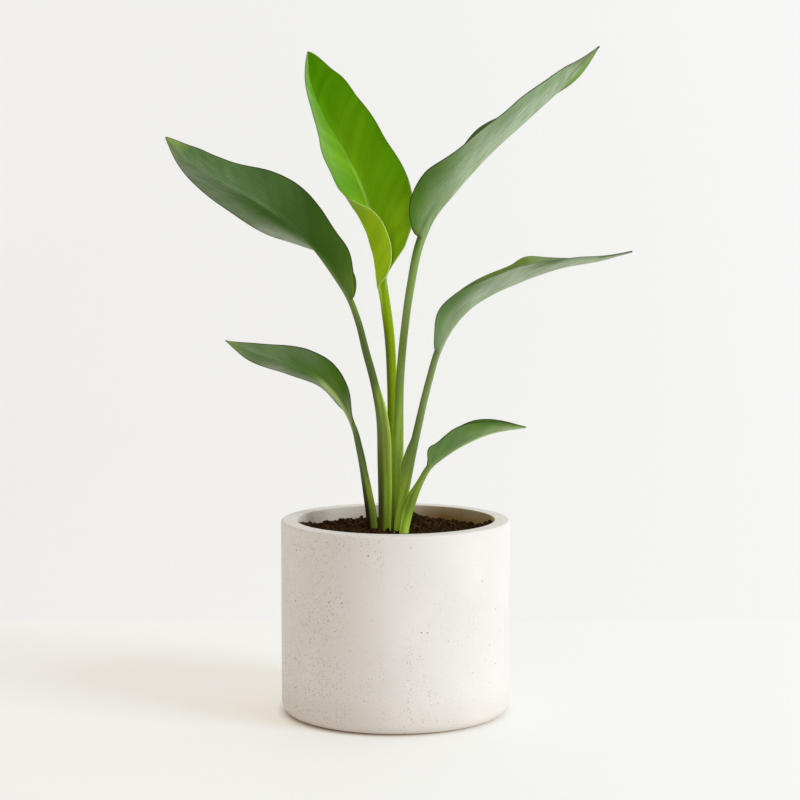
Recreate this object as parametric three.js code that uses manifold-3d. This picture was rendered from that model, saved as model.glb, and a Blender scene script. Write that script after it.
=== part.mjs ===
// A bird of paradise in a cylindrical cast-stone pot, filled with potting soil.
// Six leaves stand on a short rootstock in the soil. Millimetres, +Z up.
// The origin is the centre of the pot's base, and -Y is the front of the plant.

import * as THREE from 'three';
import { ConvexGeometry } from 'three/addons/geometries/ConvexGeometry.js';
import { mergeVertices } from 'three/addons/utils/BufferGeometryUtils.js';
import Module from 'manifold-3d';

// The clearance that pieces keep where they touch
const GAP = 0.3;

const POT = {
  diameter: 180, height: 152, wall: 12.5, floor: 14, footRadius: 8.5, rimRadius: 2, sides: 60,
};

// The soil is a low mound round the plant, with a dip at the wall. Crumbs of two sizes roughen it,
// the fine ones fineRatio times as close. Sockets for the leaves reach just above its surface.
const SOIL = {
  belowRim: 12.5, mound: 8, moundReach: 40, moundX: -4, moundY: 12, edgeDrop: 1.5, edgeReach: 8,
  crumb: 2.2, crumbSpacing: 8, fineShare: 0.5, fineRatio: 2.3, fineShift: 7,
  rings: 12, sectors: 36, socketLength: 45, socketSteps: 9,
};

// The short underground stem that the leaves grow from. Depths count down from its top.
const ROOTSTOCK = {
  x: -4.5, y: -0.5, top: 118, height: 32, topRadius: 22,
  girthRadius: 24, girthDepth: 10, lowerRadius: 20, lowerDepth: 19, footRadius: 9, sides: 28,
};

// Leaf sections. The keel spreads beyond the midrib's own radius, and a petiole's channel is a
// little narrower than it. innerStops are the most of a half's width that its two points over the
// keel may take up. A fold in a blade is spread over foldSpan of the half to each side.
const LEAF = {
  thickness: 0.9, keelSpread: 1.1, keelShoulder: 0.6, innerStops: [0.4, 0.7], channel: 0.85,
  foldSpan: 0.17, foldRoom: 0.75, waveShift: 0.35, petioleSteps: 13, bladeSteps: 22, panels: 2,
};

// The six leaves. A spine runs from the seat on the rootstock to the tip, as [x, y, z] points.
// Places along a leaf count 0 at the seat, 1 where the blade starts and 2 at the tip, and a key is
// a place with its value. rib is the midrib's radius. left and right are the directions of the two
// halves, in degrees from the leaf's side axis towards the front of the pot, and sheath is how
// much wider the petiole's wings are. Each half of a blade is halfWidth across where it is widest,
// which is a share of the way to the tip, and a smaller fullness rounds its outline. leftWidth and
// rightWidth widen or narrow a half along the blade. wave ripples the margins: how far, how many
// times over the blade and from where in the cycle.
// The centre leaf is still unrolling: curl is how many degrees its left half folds in on itself,
// curlAt is how far across the half the fold lies, and lateRight is the share of the blade over
// which the right half opens. It has more panels and steps to follow that.
const LEAVES = {
  upper_left: {
    petiole: [
      [-8.5, -4, 118.3], [-8.5, -4, 140], [-9.5, -5, 195], [-11.4, -6, 237],
      [-16.1, -6, 262], [-22.3, -7, 285], [-28.3, -8, 308], [-34.7, -10, 325],
    ],
    blade: [
      [-47.7, -13, 346], [-72, -18, 376], [-92, -23, 391], [-113, -28, 404],
      [-134, -33, 415.5], [-161, -37, 433.5], [-173.5, -38, 448.5],
    ],
    halfWidth: 28, widest: 0.4, fullness: 0.6,
    rib: [[0, 4.5], [0.45, 4], [0.55, 3.8], [0.75, 3.5], [1, 2.5], [1.15, 2.2], [1.4, 1.8], [2, 0.45]],
    left: [
      [0, 58], [0.42, 45], [0.65, 60], [0.95, 55], [1.04, 48], [1.16, 29], [1.25, 38], [1.36, 30],
      [1.48, 12], [1.56, 2], [1.65, -18], [1.75, -20], [1.88, -18], [2, -20],
    ],
    right: [
      [0, -58], [0.42, -55], [0.95, -55], [1.06, -50], [1.15, -70], [1.25, -98],
      [1.4, -133], [1.55, -148], [1.8, -150], [2, -145],
    ],
    leftWidth: [
      [0, 1], [1, 0.92], [1.12, 0.9], [1.25, 0.95], [1.42, 1], [1.56, 0.97], [1.65, 0.88], [1.8, 0.96],
      [1.9, 1.2], [2, 1.3],
    ],
    rightWidth: [[0, 1], [1.25, 1], [1.4, 0.81], [1.8, 0.78], [2, 0.72]],
    sheath: [[0, 4], [0.3, 4.6], [0.5, 5.4], [0.555, 4.6], [0.66, 0.4], [0.75, 0], [2, 0]],
    wave: { size: 1, count: 3.5, phase: 0.1 },
  },
  centre: {
    petiole: [
      [-2.7, 11, 118.3], [-2.7, 11, 140], [-2.7, 11, 200], [-2.6, 12, 255], [-5.2, 14, 300],
      [-9.8, 17, 332],
    ],
    blade: [
      [-17, 20, 383], [-29, 25, 417], [-41, 29, 441], [-58, 32, 471], [-67, 34, 496], [-69, 35.5, 518.5],
    ],
    halfWidth: 34, widest: 0.44, fullness: 0.6,
    rib: [[0, 3.8], [0.7, 3.6], [1, 3.5], [1.4, 1.6], [2, 0.45]],
    left: [
      [0, 150], [1, 150], [1.15, 162], [1.26, 160], [1.33, 153], [1.4, 145], [1.5, 142], [1.6, 128],
      [1.72, 112], [2, 115],
    ],
    right: [
      [0, 30], [0.95, 30], [1.04, 43], [1.12, 45], [1.17, 37], [1.24, 25], [1.32, 18], [1.42, 12],
      [1.52, 20], [1.8, 21], [2, 30],
    ],
    curl: [
      [0, 0], [0.9, 0], [0.99, 5], [1.03, 80], [1.08, 115], [1.15, 130], [1.22, 124], [1.27, 113],
      [1.3, 104], [1.345, 76], [1.395, 53], [1.5, 45], [1.62, 20], [1.72, 5], [2, 0],
    ],
    leftWidth: [
      [0, 1], [1.2, 0.96], [1.4, 0.94], [1.5, 0.93], [1.6, 1.02], [1.67, 0.87], [1.75, 0.7],
      [1.88, 0.62], [2, 0.6],
    ],
    rightWidth: [
      [0, 1], [1, 1], [1.15, 1], [1.24, 1.07], [1.34, 1.08], [1.42, 1.05], [1.52, 1.03], [1.62, 1.1],
      [1.75, 1.22],
      [1.9, 1.55], [2, 1.6],
    ],
    curlAt: [[0, 0.25], [1.2, 0.27], [1.26, 0.31], [1.34, 0.42], [2, 0.42]],
    sheath: [[0, 0], [2, 0]],
    wave: { size: 0.8, count: 3, phase: 0.4 },
    lateRight: 0.16, panels: 5, bladeSteps: 34, material: 'young_leaf',
  },
  upper_right: {
    petiole: [
      [0.9, 2, 118.3], [0.9, 2, 140], [1.8, 2, 206], [2.3, 2, 261], [5.5, 3, 300], [10, 4, 332],
      [19.8, 6, 372.5],
    ],
    blade: [
      [26.2, 8, 386.2], [45.2, 12, 409.8], [73.3, 18, 440.6], [104.4, 24, 468.6], [135.6, 28, 496],
      [160, 30, 522],
    ],
    halfWidth: 31, widest: 0.34, fullness: 0.6,
    rib: [[0, 4.1], [0.5, 4], [1, 3.6], [1.15, 2.8], [1.6, 2.5], [2, 0.45]],
    left: [
      [0, 215], [0.35, 217], [0.5, 235], [0.92, 235], [1.04, 205], [1.12, 203], [1.2, 212], [1.3, 235],
      [1.5, 238], [1.62, 246],
      [1.75, 272], [1.85, 290], [2, 312],
    ],
    right: [
      [0, 145], [0.35, 143], [0.5, 125], [0.92, 125], [1.04, 155], [1.1, 166], [1.18, 157], [1.26, 136],
      [1.36, 122], [1.6, 124],
      [1.7, 131], [1.78, 146], [1.84, 165], [1.9, 200], [2, 215],
    ],
    sheath: [[0, 2.4], [0.2, 2.4], [0.35, 1.6], [0.48, 0], [2, 0]],
    leftWidth: [
      [0, 1], [1, 0.8], [1.2, 0.82], [1.33, 0.96], [1.39, 1.12], [1.5, 1.1], [1.65, 1], [1.8, 1.05],
      [2, 1.3],
    ],
    rightWidth: [[0, 1], [1, 0.93], [1.2, 0.96], [1.33, 1], [1.58, 1], [1.7, 0.92], [1.85, 0.85], [2, 0.8]],
    wave: { size: 1, count: 4, phase: 0.2 },
  },
  middle_right: {
    petiole: [
      [1.6, -7, 118.3], [1.9, -7, 140], [8.4, -7, 183], [16.2, -7.5, 223], [25.2, -9, 262],
      [32, -11, 285],
    ],
    blade: [
      [39, -13, 300], [54, -17, 319], [73, -20, 332], [96, -23, 342], [126, -27, 351.5],
      [157, -30, 356.5], [180.5, -32, 362.5],
    ],
    halfWidth: 20.5, widest: 0.3, fullness: 0.85,
    rib: [[0, 3.5], [0.6, 3.4], [1, 3.2], [1.25, 3.3], [1.5, 3.1], [1.7, 1.9], [1.85, 1.1], [2, 0.45]],
    left: [
      [0, 215], [0.5, 215], [0.65, 232], [1.05, 238], [1.15, 228], [1.25, 236], [1.4, 240], [1.48, 232],
      [1.56, 212], [1.64, 230], [1.75, 238], [1.85, 215], [2, 190],
    ],
    right: [
      [0, 143], [0.5, 143], [0.65, 127], [1.05, 122], [1.15, 139], [1.25, 127], [1.4, 120], [1.6, 122],
      [1.72, 124],
      [1.85, 150], [2, 170],
    ],
    sheath: [[0, 1.4], [0.25, 1.4], [0.37, 1.8], [0.46, 3.6], [0.52, 2.4], [0.58, 0], [2, 0]],
    wave: { size: 0.8, count: 3.5, phase: 0.5 },
  },
  lower_left: {
    petiole: [[-17.5, 2, 118.3], [-17.5, 2, 136], [-22, 4, 174], [-27.5, 6, 206], [-32.5, 8, 226]],
    blade: [
      [-38, 10, 237], [-48, 13, 250], [-61, 16, 262], [-83, 20, 271.5], [-106, 24, 279.5],
      [-135, 28, 290.5],
    ],
    halfWidth: 16.5, widest: 0.42, fullness: 0.85,
    rib: [[0, 4.6], [0.4, 3.7], [1, 2.8], [1.35, 2.5], [2, 0.4]],
    left: [
      [0, 60], [0.9, 60], [1.04, 80], [1.1, 64], [1.17, 42], [1.25, 28], [1.35, 18], [1.45, 12],
      [1.53, -6], [1.6, -18], [1.7, -25], [1.85, -30], [2, -45],
    ],
    right: [
      [0, -60], [0.85, -60], [0.95, -75], [1.04, -97], [1.14, -108], [1.3, -116], [1.4, -124], [1.6, -135],
      [1.75, -150], [2, -155],
    ],
    leftWidth: [[0, 1], [1.1, 1.04], [1.25, 0.98], [1.45, 0.94], [1.7, 0.93], [2, 0.9]],
    rightWidth: [[0, 1], [1.14, 1], [1.3, 0.66], [1.6, 0.7], [1.75, 0.88], [1.88, 1.3], [2, 1.6]],
    sheath: [[0, 3], [0.33, 2.6], [0.5, 1.2], [0.65, 0], [2, 0]],
    wave: { size: 0.6, count: 3, phase: 0 },
  },
  lower_right: {
    petiole: [
      [5.2, -14, 118.3], [5.4, -14, 134], [12.9, -15, 168], [18.8, -16, 183.4], [25.5, -17.5, 195.3],
    ],
    blade: [[37.2, -20, 205.2], [53.4, -23, 215], [72.4, -27, 223], [100, -33, 228]],
    halfWidth: 16.5, widest: 0.38, fullness: 0.72,
    rib: [[0, 3.3], [0.6, 2.9], [1, 2.5], [1.3, 1.9], [2, 0.4]],
    left: [[0, 215], [0.7, 218], [0.9, 236], [1.1, 236], [1.4, 226], [1.7, 220], [2, 215]],
    right: [[0, 145], [0.7, 142], [0.9, 124], [1.1, 136], [1.45, 142], [1.6, 146], [1.8, 142], [2, 140]],
    rightWidth: [
      [0, 1], [1, 0.3], [1.05, 0.68], [1.1, 1.16], [1.15, 1.24], [1.2, 1.05], [1.26, 0.97], [1.36, 1.03],
      [1.5, 1.05], [1.8, 1.1], [1.92, 1.4], [2, 1.6],
    ],
    sheath: [[0, 0.8], [0.35, 1.6], [0.5, 2.8], [0.66, 3], [0.8, 0.6], [0.88, 0], [2, 0]],
    wave: { size: 0.6, count: 2.5, phase: 0.3 },
  },
};

// Plain colours for each material
const MATERIALS = {
  stone: { color: 0xd9d2c6, roughness: 0.85 },
  soil: { color: 0x2e1f15, roughness: 1 },
  rootstock: { color: 0x8a7a55, roughness: 0.9 },
  petiole: { color: 0x6f9440, roughness: 0.5 },
  leaf: { color: 0x45702f, roughness: 0.4 },
  young_leaf: { color: 0x6ba512, roughness: 0.4 },
};

const wasm = await Module();
wasm.setup();

const { lerp, smoothstep, degToRad } = THREE.MathUtils;

// Keyed values

// The slope of a smooth curve at one of its keys, for the value in one column
function slopeAt(keys, index, column) {
  const rise = (from) => (keys[from + 1][column] - keys[from][column]) / (keys[from + 1][0] - keys[from][0]);
  if (index === 0) return rise(0);
  if (index === keys.length - 1) return rise(index - 1);
  const before = keys[index][0] - keys[index - 1][0];
  const after = keys[index + 1][0] - keys[index][0];
  return (rise(index - 1) * after + rise(index) * before) / (before + after);
}

// The value in one column at a place between the keys, on a smooth curve through them all
function valueAt(keys, place, column = 1) {
  const last = keys.length - 1;
  const at = THREE.MathUtils.clamp(place, keys[0][0], keys[last][0]);
  let index = 0;
  while (index < last - 1 && at >= keys[index + 1][0]) index += 1;
  const step = keys[index + 1][0] - keys[index][0];
  const u = (at - keys[index][0]) / step;
  return keys[index][column] * (2 * u ** 3 - 3 * u ** 2 + 1)
    + keys[index + 1][column] * (3 * u ** 2 - 2 * u ** 3)
    + slopeAt(keys, index, column) * step * (u ** 3 - 2 * u ** 2 + u)
    + slopeAt(keys, index + 1, column) * step * (u ** 3 - u ** 2);
}

// Leaf form

// A leaf's spine as keys of distance, x, y and z, with the distance at which its blade starts
function measureSpine(leaf) {
  const keys = [];
  for (const [x, y, z] of [...leaf.petiole, ...leaf.blade]) {
    const before = keys[keys.length - 1];
    const distance = before ? before[0] + Math.hypot(x - before[1], y - before[2], z - before[3]) : 0;
    keys.push([distance, x, y, z]);
  }
  return { keys, bladeStart: keys[leaf.petiole.length - 1][0], length: keys[keys.length - 1][0] };
}

// The place where a petiole stops, a small gap short of its blade
function petioleEnd(leaf) {
  return 1 - GAP / measureSpine(leaf).bladeStart;
}

function spinePoint(spine, place) {
  const onPetiole = Math.min(place, 1) * spine.bladeStart;
  const distance = onPetiole + Math.max(place - 1, 0) * (spine.length - spine.bladeStart);
  return new THREE.Vector3(...[1, 2, 3].map((column) => valueAt(spine.keys, distance, column)));
}

// The spine's point at a place, with the side and front axes of the section there
function sectionFrame(spine, place) {
  const reach = 0.001;
  const ahead = spinePoint(spine, Math.min(place + reach, 2));
  const behind = spinePoint(spine, Math.max(place - reach, 0));
  const along = ahead.sub(behind).normalize();
  const side = along.clone().cross(new THREE.Vector3(0, -1, 0)).normalize();
  return { centre: spinePoint(spine, place), side, front: side.clone().cross(along) };
}

// The blade's outline from 0 at its base to 1 at its tip, as a share of its half-width
function outline(leaf, place) {
  const t = THREE.MathUtils.clamp(place - 1, 0, 1);
  const tipPower = leaf.fullness * (1 - leaf.widest) / leaf.widest;
  return (t / leaf.widest) ** leaf.fullness * ((1 - t) / (1 - leaf.widest)) ** tipPower;
}

// Distances from the midrib at which a half has points: two over the keel, then even panels
function halfStops(leaf, radius, width) {
  const keel = LEAF.keelSpread * radius;
  const [first, second] = LEAF.innerStops;
  const inner = Math.min(keel, second * width);
  const panels = leaf.panels ?? LEAF.panels;
  const stops = [Math.min(LEAF.keelShoulder * keel, first * width), inner];
  for (let panel = 1; panel <= panels; panel += 1) stops.push(lerp(inner, width, panel / panels));
  return stops;
}

// One half of a section from the midrib out: points with the direction of the leaf's upper face.
// hand is 1 for the left half and -1 for the right.
function halfSection(leaf, place, hand, grow) {
  const radius = valueAt(leaf.rib, place) + grow;
  const late = hand < 0 && leaf.lateRight ? smoothstep(place - 1, 0, leaf.lateRight) : 1;
  const widening = hand > 0 ? leaf.leftWidth : leaf.rightWidth;
  const share = late * outline(leaf, place) * (widening ? valueAt(widening, place) : 1);
  const wing = Math.max(valueAt(leaf.sheath, place), 0);
  const width = LEAF.channel * radius + leaf.halfWidth * share + wing + grow;
  const direction = valueAt(hand > 0 ? leaf.left : leaf.right, place);
  const curl = hand > 0 && leaf.curl ? valueAt(leaf.curl, place) : 0;
  const curlAt = leaf.curlAt ? valueAt(leaf.curlAt, place) : 0;
  const folded = (u) => smoothstep(u, curlAt - LEAF.foldSpan, curlAt + LEAF.foldSpan);
  const angleAt = (u) => degToRad(direction - hand * curl * folded(u));
  const opening = degToRad(Math.abs(valueAt(leaf.left, place) - valueAt(leaf.right, place)) / 2);
  const phase = leaf.wave.phase + (hand > 0 ? 0 : LEAF.waveShift);
  const ripple = leaf.wave.size * share * Math.sin(2 * Math.PI * (leaf.wave.count * place + phase));
  const points = [];
  let reached = 0;
  let x = 0;
  let y = 0;
  for (const stop of halfStops(leaf, radius, width)) {
    const middle = angleAt((reached + stop) / 2 / width);
    x += (stop - reached) * Math.cos(middle);
    y += (stop - reached) * Math.sin(middle);
    reached = stop;
    const up = angleAt(stop / width) - hand * Math.PI / 2;
    const lift = ripple * (stop / width) ** 2;
    const keel = radius * Math.sqrt(Math.max(0, 1 - (stop / (LEAF.keelSpread * radius)) ** 2));
    // In a sharp fold the upper face keeps off the plane where the two halves would meet
    const room = opening < Math.PI / 2 ? LEAF.foldRoom * stop * Math.tan(opening) : Infinity;
    points.push({ x: x + lift * Math.cos(up), y: y + lift * Math.sin(up), up, keel, room });
  }
  return points;
}

// A whole section from the left margin to the right: matching points on the upper and lower face
function leafSection(leaf, spine, place, grow) {
  const left = halfSection(leaf, place, 1, grow);
  const right = halfSection(leaf, place, -1, grow);
  const up = degToRad((valueAt(leaf.left, place) + valueAt(leaf.right, place)) / 2);
  const rib = { x: 0, y: 0, up, keel: valueAt(leaf.rib, place) + grow, room: Infinity };
  const { centre, side, front } = sectionFrame(spine, place);
  const half = LEAF.thickness / 2 + grow;
  const place3 = (point, offset) => centre.clone()
    .addScaledVector(side, point.x + offset * Math.cos(point.up))
    .addScaledVector(front, point.y + offset * Math.sin(point.up));
  const across = [...left.reverse(), rib, ...right];
  return {
    upper: across.map((point) => place3(point, Math.min(half, point.room))),
    lower: across.map((point) => place3(point, -half - point.keel)),
  };
}

// A closed solid through a leaf's sections between two places, with both faces split alike
function leafSolid(leaf, from, to, steps) {
  const spine = measureSpine(leaf);
  const sections = [];
  for (let step = 0; step <= steps; step += 1) {
    sections.push(leafSection(leaf, spine, lerp(from, to, step / steps), 0));
  }
  const columns = sections[0].upper.length;
  const positions = sections.flatMap(({ upper, lower }) => [...upper, ...lower]).flatMap((p) => p.toArray());
  const upper = (row, column) => row * 2 * columns + column;
  const lower = (row, column) => upper(row, column) + columns;
  const index = [];
  const quad = (a, b, c, d) => index.push(a, b, c, a, c, d);
  for (let row = 0; row < steps; row += 1) {
    for (let column = 0; column < columns - 1; column += 1) {
      quad(upper(row, column), upper(row + 1, column), upper(row + 1, column + 1), upper(row, column + 1));
      index.push(lower(row, column), lower(row + 1, column + 1), lower(row + 1, column));
      index.push(lower(row, column), lower(row, column + 1), lower(row + 1, column + 1));
    }
    quad(upper(row, 0), lower(row, 0), lower(row + 1, 0), upper(row + 1, 0));
    const edge = columns - 1;
    quad(upper(row, edge), upper(row + 1, edge), lower(row + 1, edge), lower(row, edge));
  }
  for (let column = 0; column < columns - 1; column += 1) {
    quad(upper(0, column), upper(0, column + 1), lower(0, column + 1), lower(0, column));
    quad(upper(steps, column), lower(steps, column), lower(steps, column + 1), upper(steps, column + 1));
  }
  const geometry = new THREE.BufferGeometry();
  geometry.setAttribute('position', new THREE.Float32BufferAttribute(positions, 3));
  geometry.setIndex(index);
  return facingOut(geometry);
}

// Solids and booleans

// Six times the volume that a closed mesh encloses, negative when its faces point in
function signedVolume(geometry) {
  const { position } = geometry.attributes;
  const corner = (at) => new THREE.Vector3().fromBufferAttribute(position, geometry.index.getX(at));
  let sum = 0;
  for (let at = 0; at < geometry.index.count; at += 3) {
    sum += corner(at).dot(corner(at + 1).cross(corner(at + 2)));
  }
  return sum;
}

// The same mesh with its faces turned to point out
function facingOut(geometry) {
  if (signedVolume(geometry) > 0) return geometry;
  geometry.setIndex([...geometry.index.array].reverse());
  return geometry;
}

// A mesh of positions alone, with its shared vertices made one
function merged(geometry) {
  const bare = geometry.clone();
  bare.deleteAttribute('normal');
  bare.deleteAttribute('uv');
  return mergeVertices(bare, 1e-4);
}

function toManifold(geometry) {
  const closed = merged(geometry);
  return new wasm.Manifold(new wasm.Mesh({
    numProp: 3,
    vertProperties: new Float32Array(closed.attributes.position.array),
    triVerts: new Uint32Array(closed.index.array),
  }));
}

function fromManifold(solid) {
  const { vertProperties, triVerts } = solid.getMesh();
  const geometry = new THREE.BufferGeometry();
  geometry.setAttribute('position', new THREE.BufferAttribute(vertProperties, 3));
  geometry.setIndex(new THREE.BufferAttribute(triVerts, 1));
  return geometry;
}

// A lathed solid whose profile of [radius, height] points starts and ends on the axis
function lathed(profile, sides) {
  const points = profile.map(([radius, height]) => new THREE.Vector2(radius, height));
  const geometry = merged(new THREE.LatheGeometry(points, sides));
  geometry.rotateX(Math.PI / 2);
  return facingOut(geometry);
}

// Points of a quarter round, turning from one angle to the other about its centre
function quarterRound(centreRadius, centreHeight, radius, fromDegrees, toDegrees, steps) {
  const points = [];
  for (let step = 0; step <= steps; step += 1) {
    const angle = degToRad(lerp(fromDegrees, toDegrees, step / steps));
    points.push([centreRadius + radius * Math.cos(angle), centreHeight + radius * Math.sin(angle)]);
  }
  return points;
}

// Pot, soil and rootstock

function pot() {
  const outer = POT.diameter / 2;
  const inner = outer - POT.wall;
  return lathed([
    [0, 0],
    ...quarterRound(outer - POT.footRadius, POT.footRadius, POT.footRadius, -90, 0, 4),
    ...quarterRound(outer - POT.rimRadius, POT.height - POT.rimRadius, POT.rimRadius, 0, 90, 2),
    ...quarterRound(inner + POT.rimRadius, POT.height - POT.rimRadius, POT.rimRadius, 90, 180, 2),
    [inner, POT.floor],
    [0, POT.floor],
  ], POT.sides);
}

// The rootstock, or, grown by the gap, the hollow for it. The hollow's ceiling is raised so that
// the sockets of the leaves open into it.
function rootstock(grow = 0) {
  const { top, height, topRadius, girthRadius, girthDepth, lowerRadius, lowerDepth, footRadius } = ROOTSTOCK;
  const bottom = top - height - grow;
  const ceiling = top + 2 * grow;
  const geometry = lathed([
    [0, bottom],
    [footRadius + grow, bottom],
    [lowerRadius + grow, top - lowerDepth],
    [girthRadius + grow, top - girthDepth],
    [topRadius + grow, ceiling],
    [0, ceiling],
  ], ROOTSTOCK.sides);
  geometry.translate(ROOTSTOCK.x, ROOTSTOCK.y, 0);
  return geometry;
}

// A repeatable number from 0 to 1 for a whole-numbered cell
function cellValue(column, row) {
  const mixed = Math.sin(column * 127.1 + row * 311.7) * 43758.5453;
  return mixed - Math.floor(mixed);
}

// Uneven ground from -1 to 1, smooth between cells one unit apart
function unevenness(x, y) {
  const column = Math.floor(x);
  const row = Math.floor(y);
  const u = smoothstep(x - column, 0, 1);
  const v = smoothstep(y - row, 0, 1);
  const near = lerp(cellValue(column, row), cellValue(column + 1, row), u);
  const far = lerp(cellValue(column, row + 1), cellValue(column + 1, row + 1), u);
  return 2 * lerp(near, far, v) - 1;
}

// Height of the soil: a low mound round the plant, a dip at the wall, and crumbs of two sizes
function soilHeight(x, y, radius) {
  const fromMound = Math.hypot(x - SOIL.moundX, y - SOIL.moundY);
  const mound = SOIL.mound * Math.exp(-((fromMound / SOIL.moundReach) ** 2));
  const dip = SOIL.edgeDrop * smoothstep(Math.hypot(x, y), radius - SOIL.edgeReach, radius);
  const coarse = unevenness(x / SOIL.crumbSpacing, y / SOIL.crumbSpacing);
  const closer = SOIL.fineRatio / SOIL.crumbSpacing;
  const fine = unevenness(closer * x + SOIL.fineShift, closer * y);
  const crumbs = (coarse + SOIL.fineShare * fine) / (1 + SOIL.fineShare);
  return POT.height - SOIL.belowRim + mound - dip + SOIL.crumb * crumbs;
}

// The soil's own body: rings of an uneven top, a straight side and a flat bottom
function soilBody() {
  const radius = POT.diameter / 2 - POT.wall - GAP;
  const bottom = POT.floor + GAP;
  const positions = [0, 0, soilHeight(0, 0, radius)];
  for (let ring = 1; ring <= SOIL.rings; ring += 1) {
    for (let sector = 0; sector < SOIL.sectors; sector += 1) {
      const angle = 2 * Math.PI * sector / SOIL.sectors;
      const x = radius * ring / SOIL.rings * Math.cos(angle);
      const y = radius * ring / SOIL.rings * Math.sin(angle);
      positions.push(x, y, soilHeight(x, y, radius));
    }
  }
  for (let sector = 0; sector < SOIL.sectors; sector += 1) {
    const angle = 2 * Math.PI * sector / SOIL.sectors;
    positions.push(radius * Math.cos(angle), radius * Math.sin(angle), bottom);
  }
  positions.push(0, 0, bottom);
  const at = (ring, sector) => 1 + (ring - 1) * SOIL.sectors + sector % SOIL.sectors;
  const centreBelow = positions.length / 3 - 1;
  const index = [];
  for (let sector = 0; sector < SOIL.sectors; sector += 1) {
    index.push(0, at(1, sector), at(1, sector + 1));
    for (let ring = 1; ring <= SOIL.rings; ring += 1) {
      index.push(at(ring, sector), at(ring + 1, sector), at(ring + 1, sector + 1));
      index.push(at(ring, sector), at(ring + 1, sector + 1), at(ring, sector + 1));
    }
    index.push(at(SOIL.rings + 1, sector), centreBelow, at(SOIL.rings + 1, sector + 1));
  }
  const geometry = new THREE.BufferGeometry();
  geometry.setAttribute('position', new THREE.Float32BufferAttribute(positions, 3));
  geometry.setIndex(index);
  return facingOut(geometry);
}

// A plain hole round a petiole, from its seat to just above the soil
function socket(leaf) {
  const spine = measureSpine(leaf);
  const top = SOIL.socketLength / spine.bladeStart;
  const points = [];
  for (let step = 0; step <= SOIL.socketSteps; step += 1) {
    const { upper, lower } = leafSection(leaf, spine, top * step / SOIL.socketSteps, GAP);
    points.push(...upper, ...lower);
  }
  return facingOut(merged(new ConvexGeometry(points)));
}

// The soil with a socket for the rootstock and one for each petiole that rises from it
function soil() {
  let solid = toManifold(soilBody()).subtract(toManifold(rootstock(GAP)));
  for (const leaf of Object.values(LEAVES)) solid = solid.subtract(toManifold(socket(leaf)));
  return fromManifold(solid);
}

// Assembly

const plant = new THREE.Group();

function addPart(name, geometry, materialName) {
  const material = new THREE.MeshStandardMaterial({ metalness: 0, ...MATERIALS[materialName] });
  const mesh = new THREE.Mesh(geometry, material);
  mesh.name = name;
  plant.add(mesh);
}

addPart('pot', pot(), 'stone');
addPart('soil', soil(), 'soil');
addPart('rootstock', rootstock(), 'rootstock');
for (const [name, leaf] of Object.entries(LEAVES)) {
  const bladeSteps = leaf.bladeSteps ?? LEAF.bladeSteps;
  addPart(`petiole_${name}`, leafSolid(leaf, 0, petioleEnd(leaf), LEAF.petioleSteps), 'petiole');
  addPart(`blade_${name}`, leafSolid(leaf, 1, 2, bladeSteps), leaf.material ?? 'leaf');
}

export default plant;
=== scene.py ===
"""The looks of a young bird of paradise in a pot of cast stone, dressed on its fixed frame."""

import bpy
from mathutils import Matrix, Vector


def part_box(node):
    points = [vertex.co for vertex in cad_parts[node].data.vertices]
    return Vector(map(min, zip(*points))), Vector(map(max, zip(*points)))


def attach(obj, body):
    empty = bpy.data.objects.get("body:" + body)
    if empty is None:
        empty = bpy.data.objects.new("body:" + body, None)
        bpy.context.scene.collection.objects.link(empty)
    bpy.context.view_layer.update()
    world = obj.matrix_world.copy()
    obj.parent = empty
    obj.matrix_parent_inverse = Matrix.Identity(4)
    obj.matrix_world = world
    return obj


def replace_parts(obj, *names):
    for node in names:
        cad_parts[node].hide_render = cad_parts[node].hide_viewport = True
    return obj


bl_info = {
    "name": "Potted Bird of Paradise",
    "version": (1, 0, 0),
    "blender": (4, 5, 0),
    "location": "View3D > Sidebar > Plant",
    "description": "Builds the leaves, the soil, the pot and the studio round the packed frame",
    "category": "Add Mesh",
}

import math

import bmesh
import bpy
import numpy as np
from bpy.props import FloatProperty, FloatVectorProperty, IntProperty, PointerProperty
from bpy.types import Operator, Panel, PropertyGroup
from mathutils import Vector, noise

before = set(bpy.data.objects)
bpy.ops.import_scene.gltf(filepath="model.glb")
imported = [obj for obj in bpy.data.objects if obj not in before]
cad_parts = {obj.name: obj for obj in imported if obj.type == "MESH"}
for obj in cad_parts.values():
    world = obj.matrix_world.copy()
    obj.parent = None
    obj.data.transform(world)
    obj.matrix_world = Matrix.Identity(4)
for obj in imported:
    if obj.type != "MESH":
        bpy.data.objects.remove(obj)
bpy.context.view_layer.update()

MM = 0.001
GAP = 0.3 * MM
BODY = "root"

# The frame's own pot and soil give the sizes of the fine ones
_, POT_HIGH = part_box("pot")
SOIL_LOW, SOIL_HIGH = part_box("soil")
SOIL_RADIUS = SOIL_HIGH.x

# Grid of the turned pot and soil: columns all round, and rows from the soil's middle to its side
POT_SECTORS = 256
SOIL_SECTORS = 400
SOIL_RINGS = 200

# The stone's pinholes, from large to small: cells per metre, the largest radius as a share of the
# cell, the least share of that radius where they don't crowd, and how dark the painted shade in them is
PINHOLES = [(150, 0.1, 0.7, 1), (310, 0.145, 0.5, 0.85), (640, 0.36, 0.3, 0.4)]

# Where the soil swells, in millimetres: x, y, reach and height of each swell. One is behind the
# plant, one round its feet and one against the wall on each side
SWELLS = [(8, 36, 17, 12), (-14, 4, 26, 3.6), (-82, 6, 20, 7), (82, 2, 20, 8)]

# The soil's lumps, from large to small: size as a share of the largest, height in millimetres and
# share in the crest, which takes the painted highlight
LUMPS = [(1, 1.5, 0.45), (0.52, 0.8, 0.35), (0.26, 0.35, 0.2)]

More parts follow.
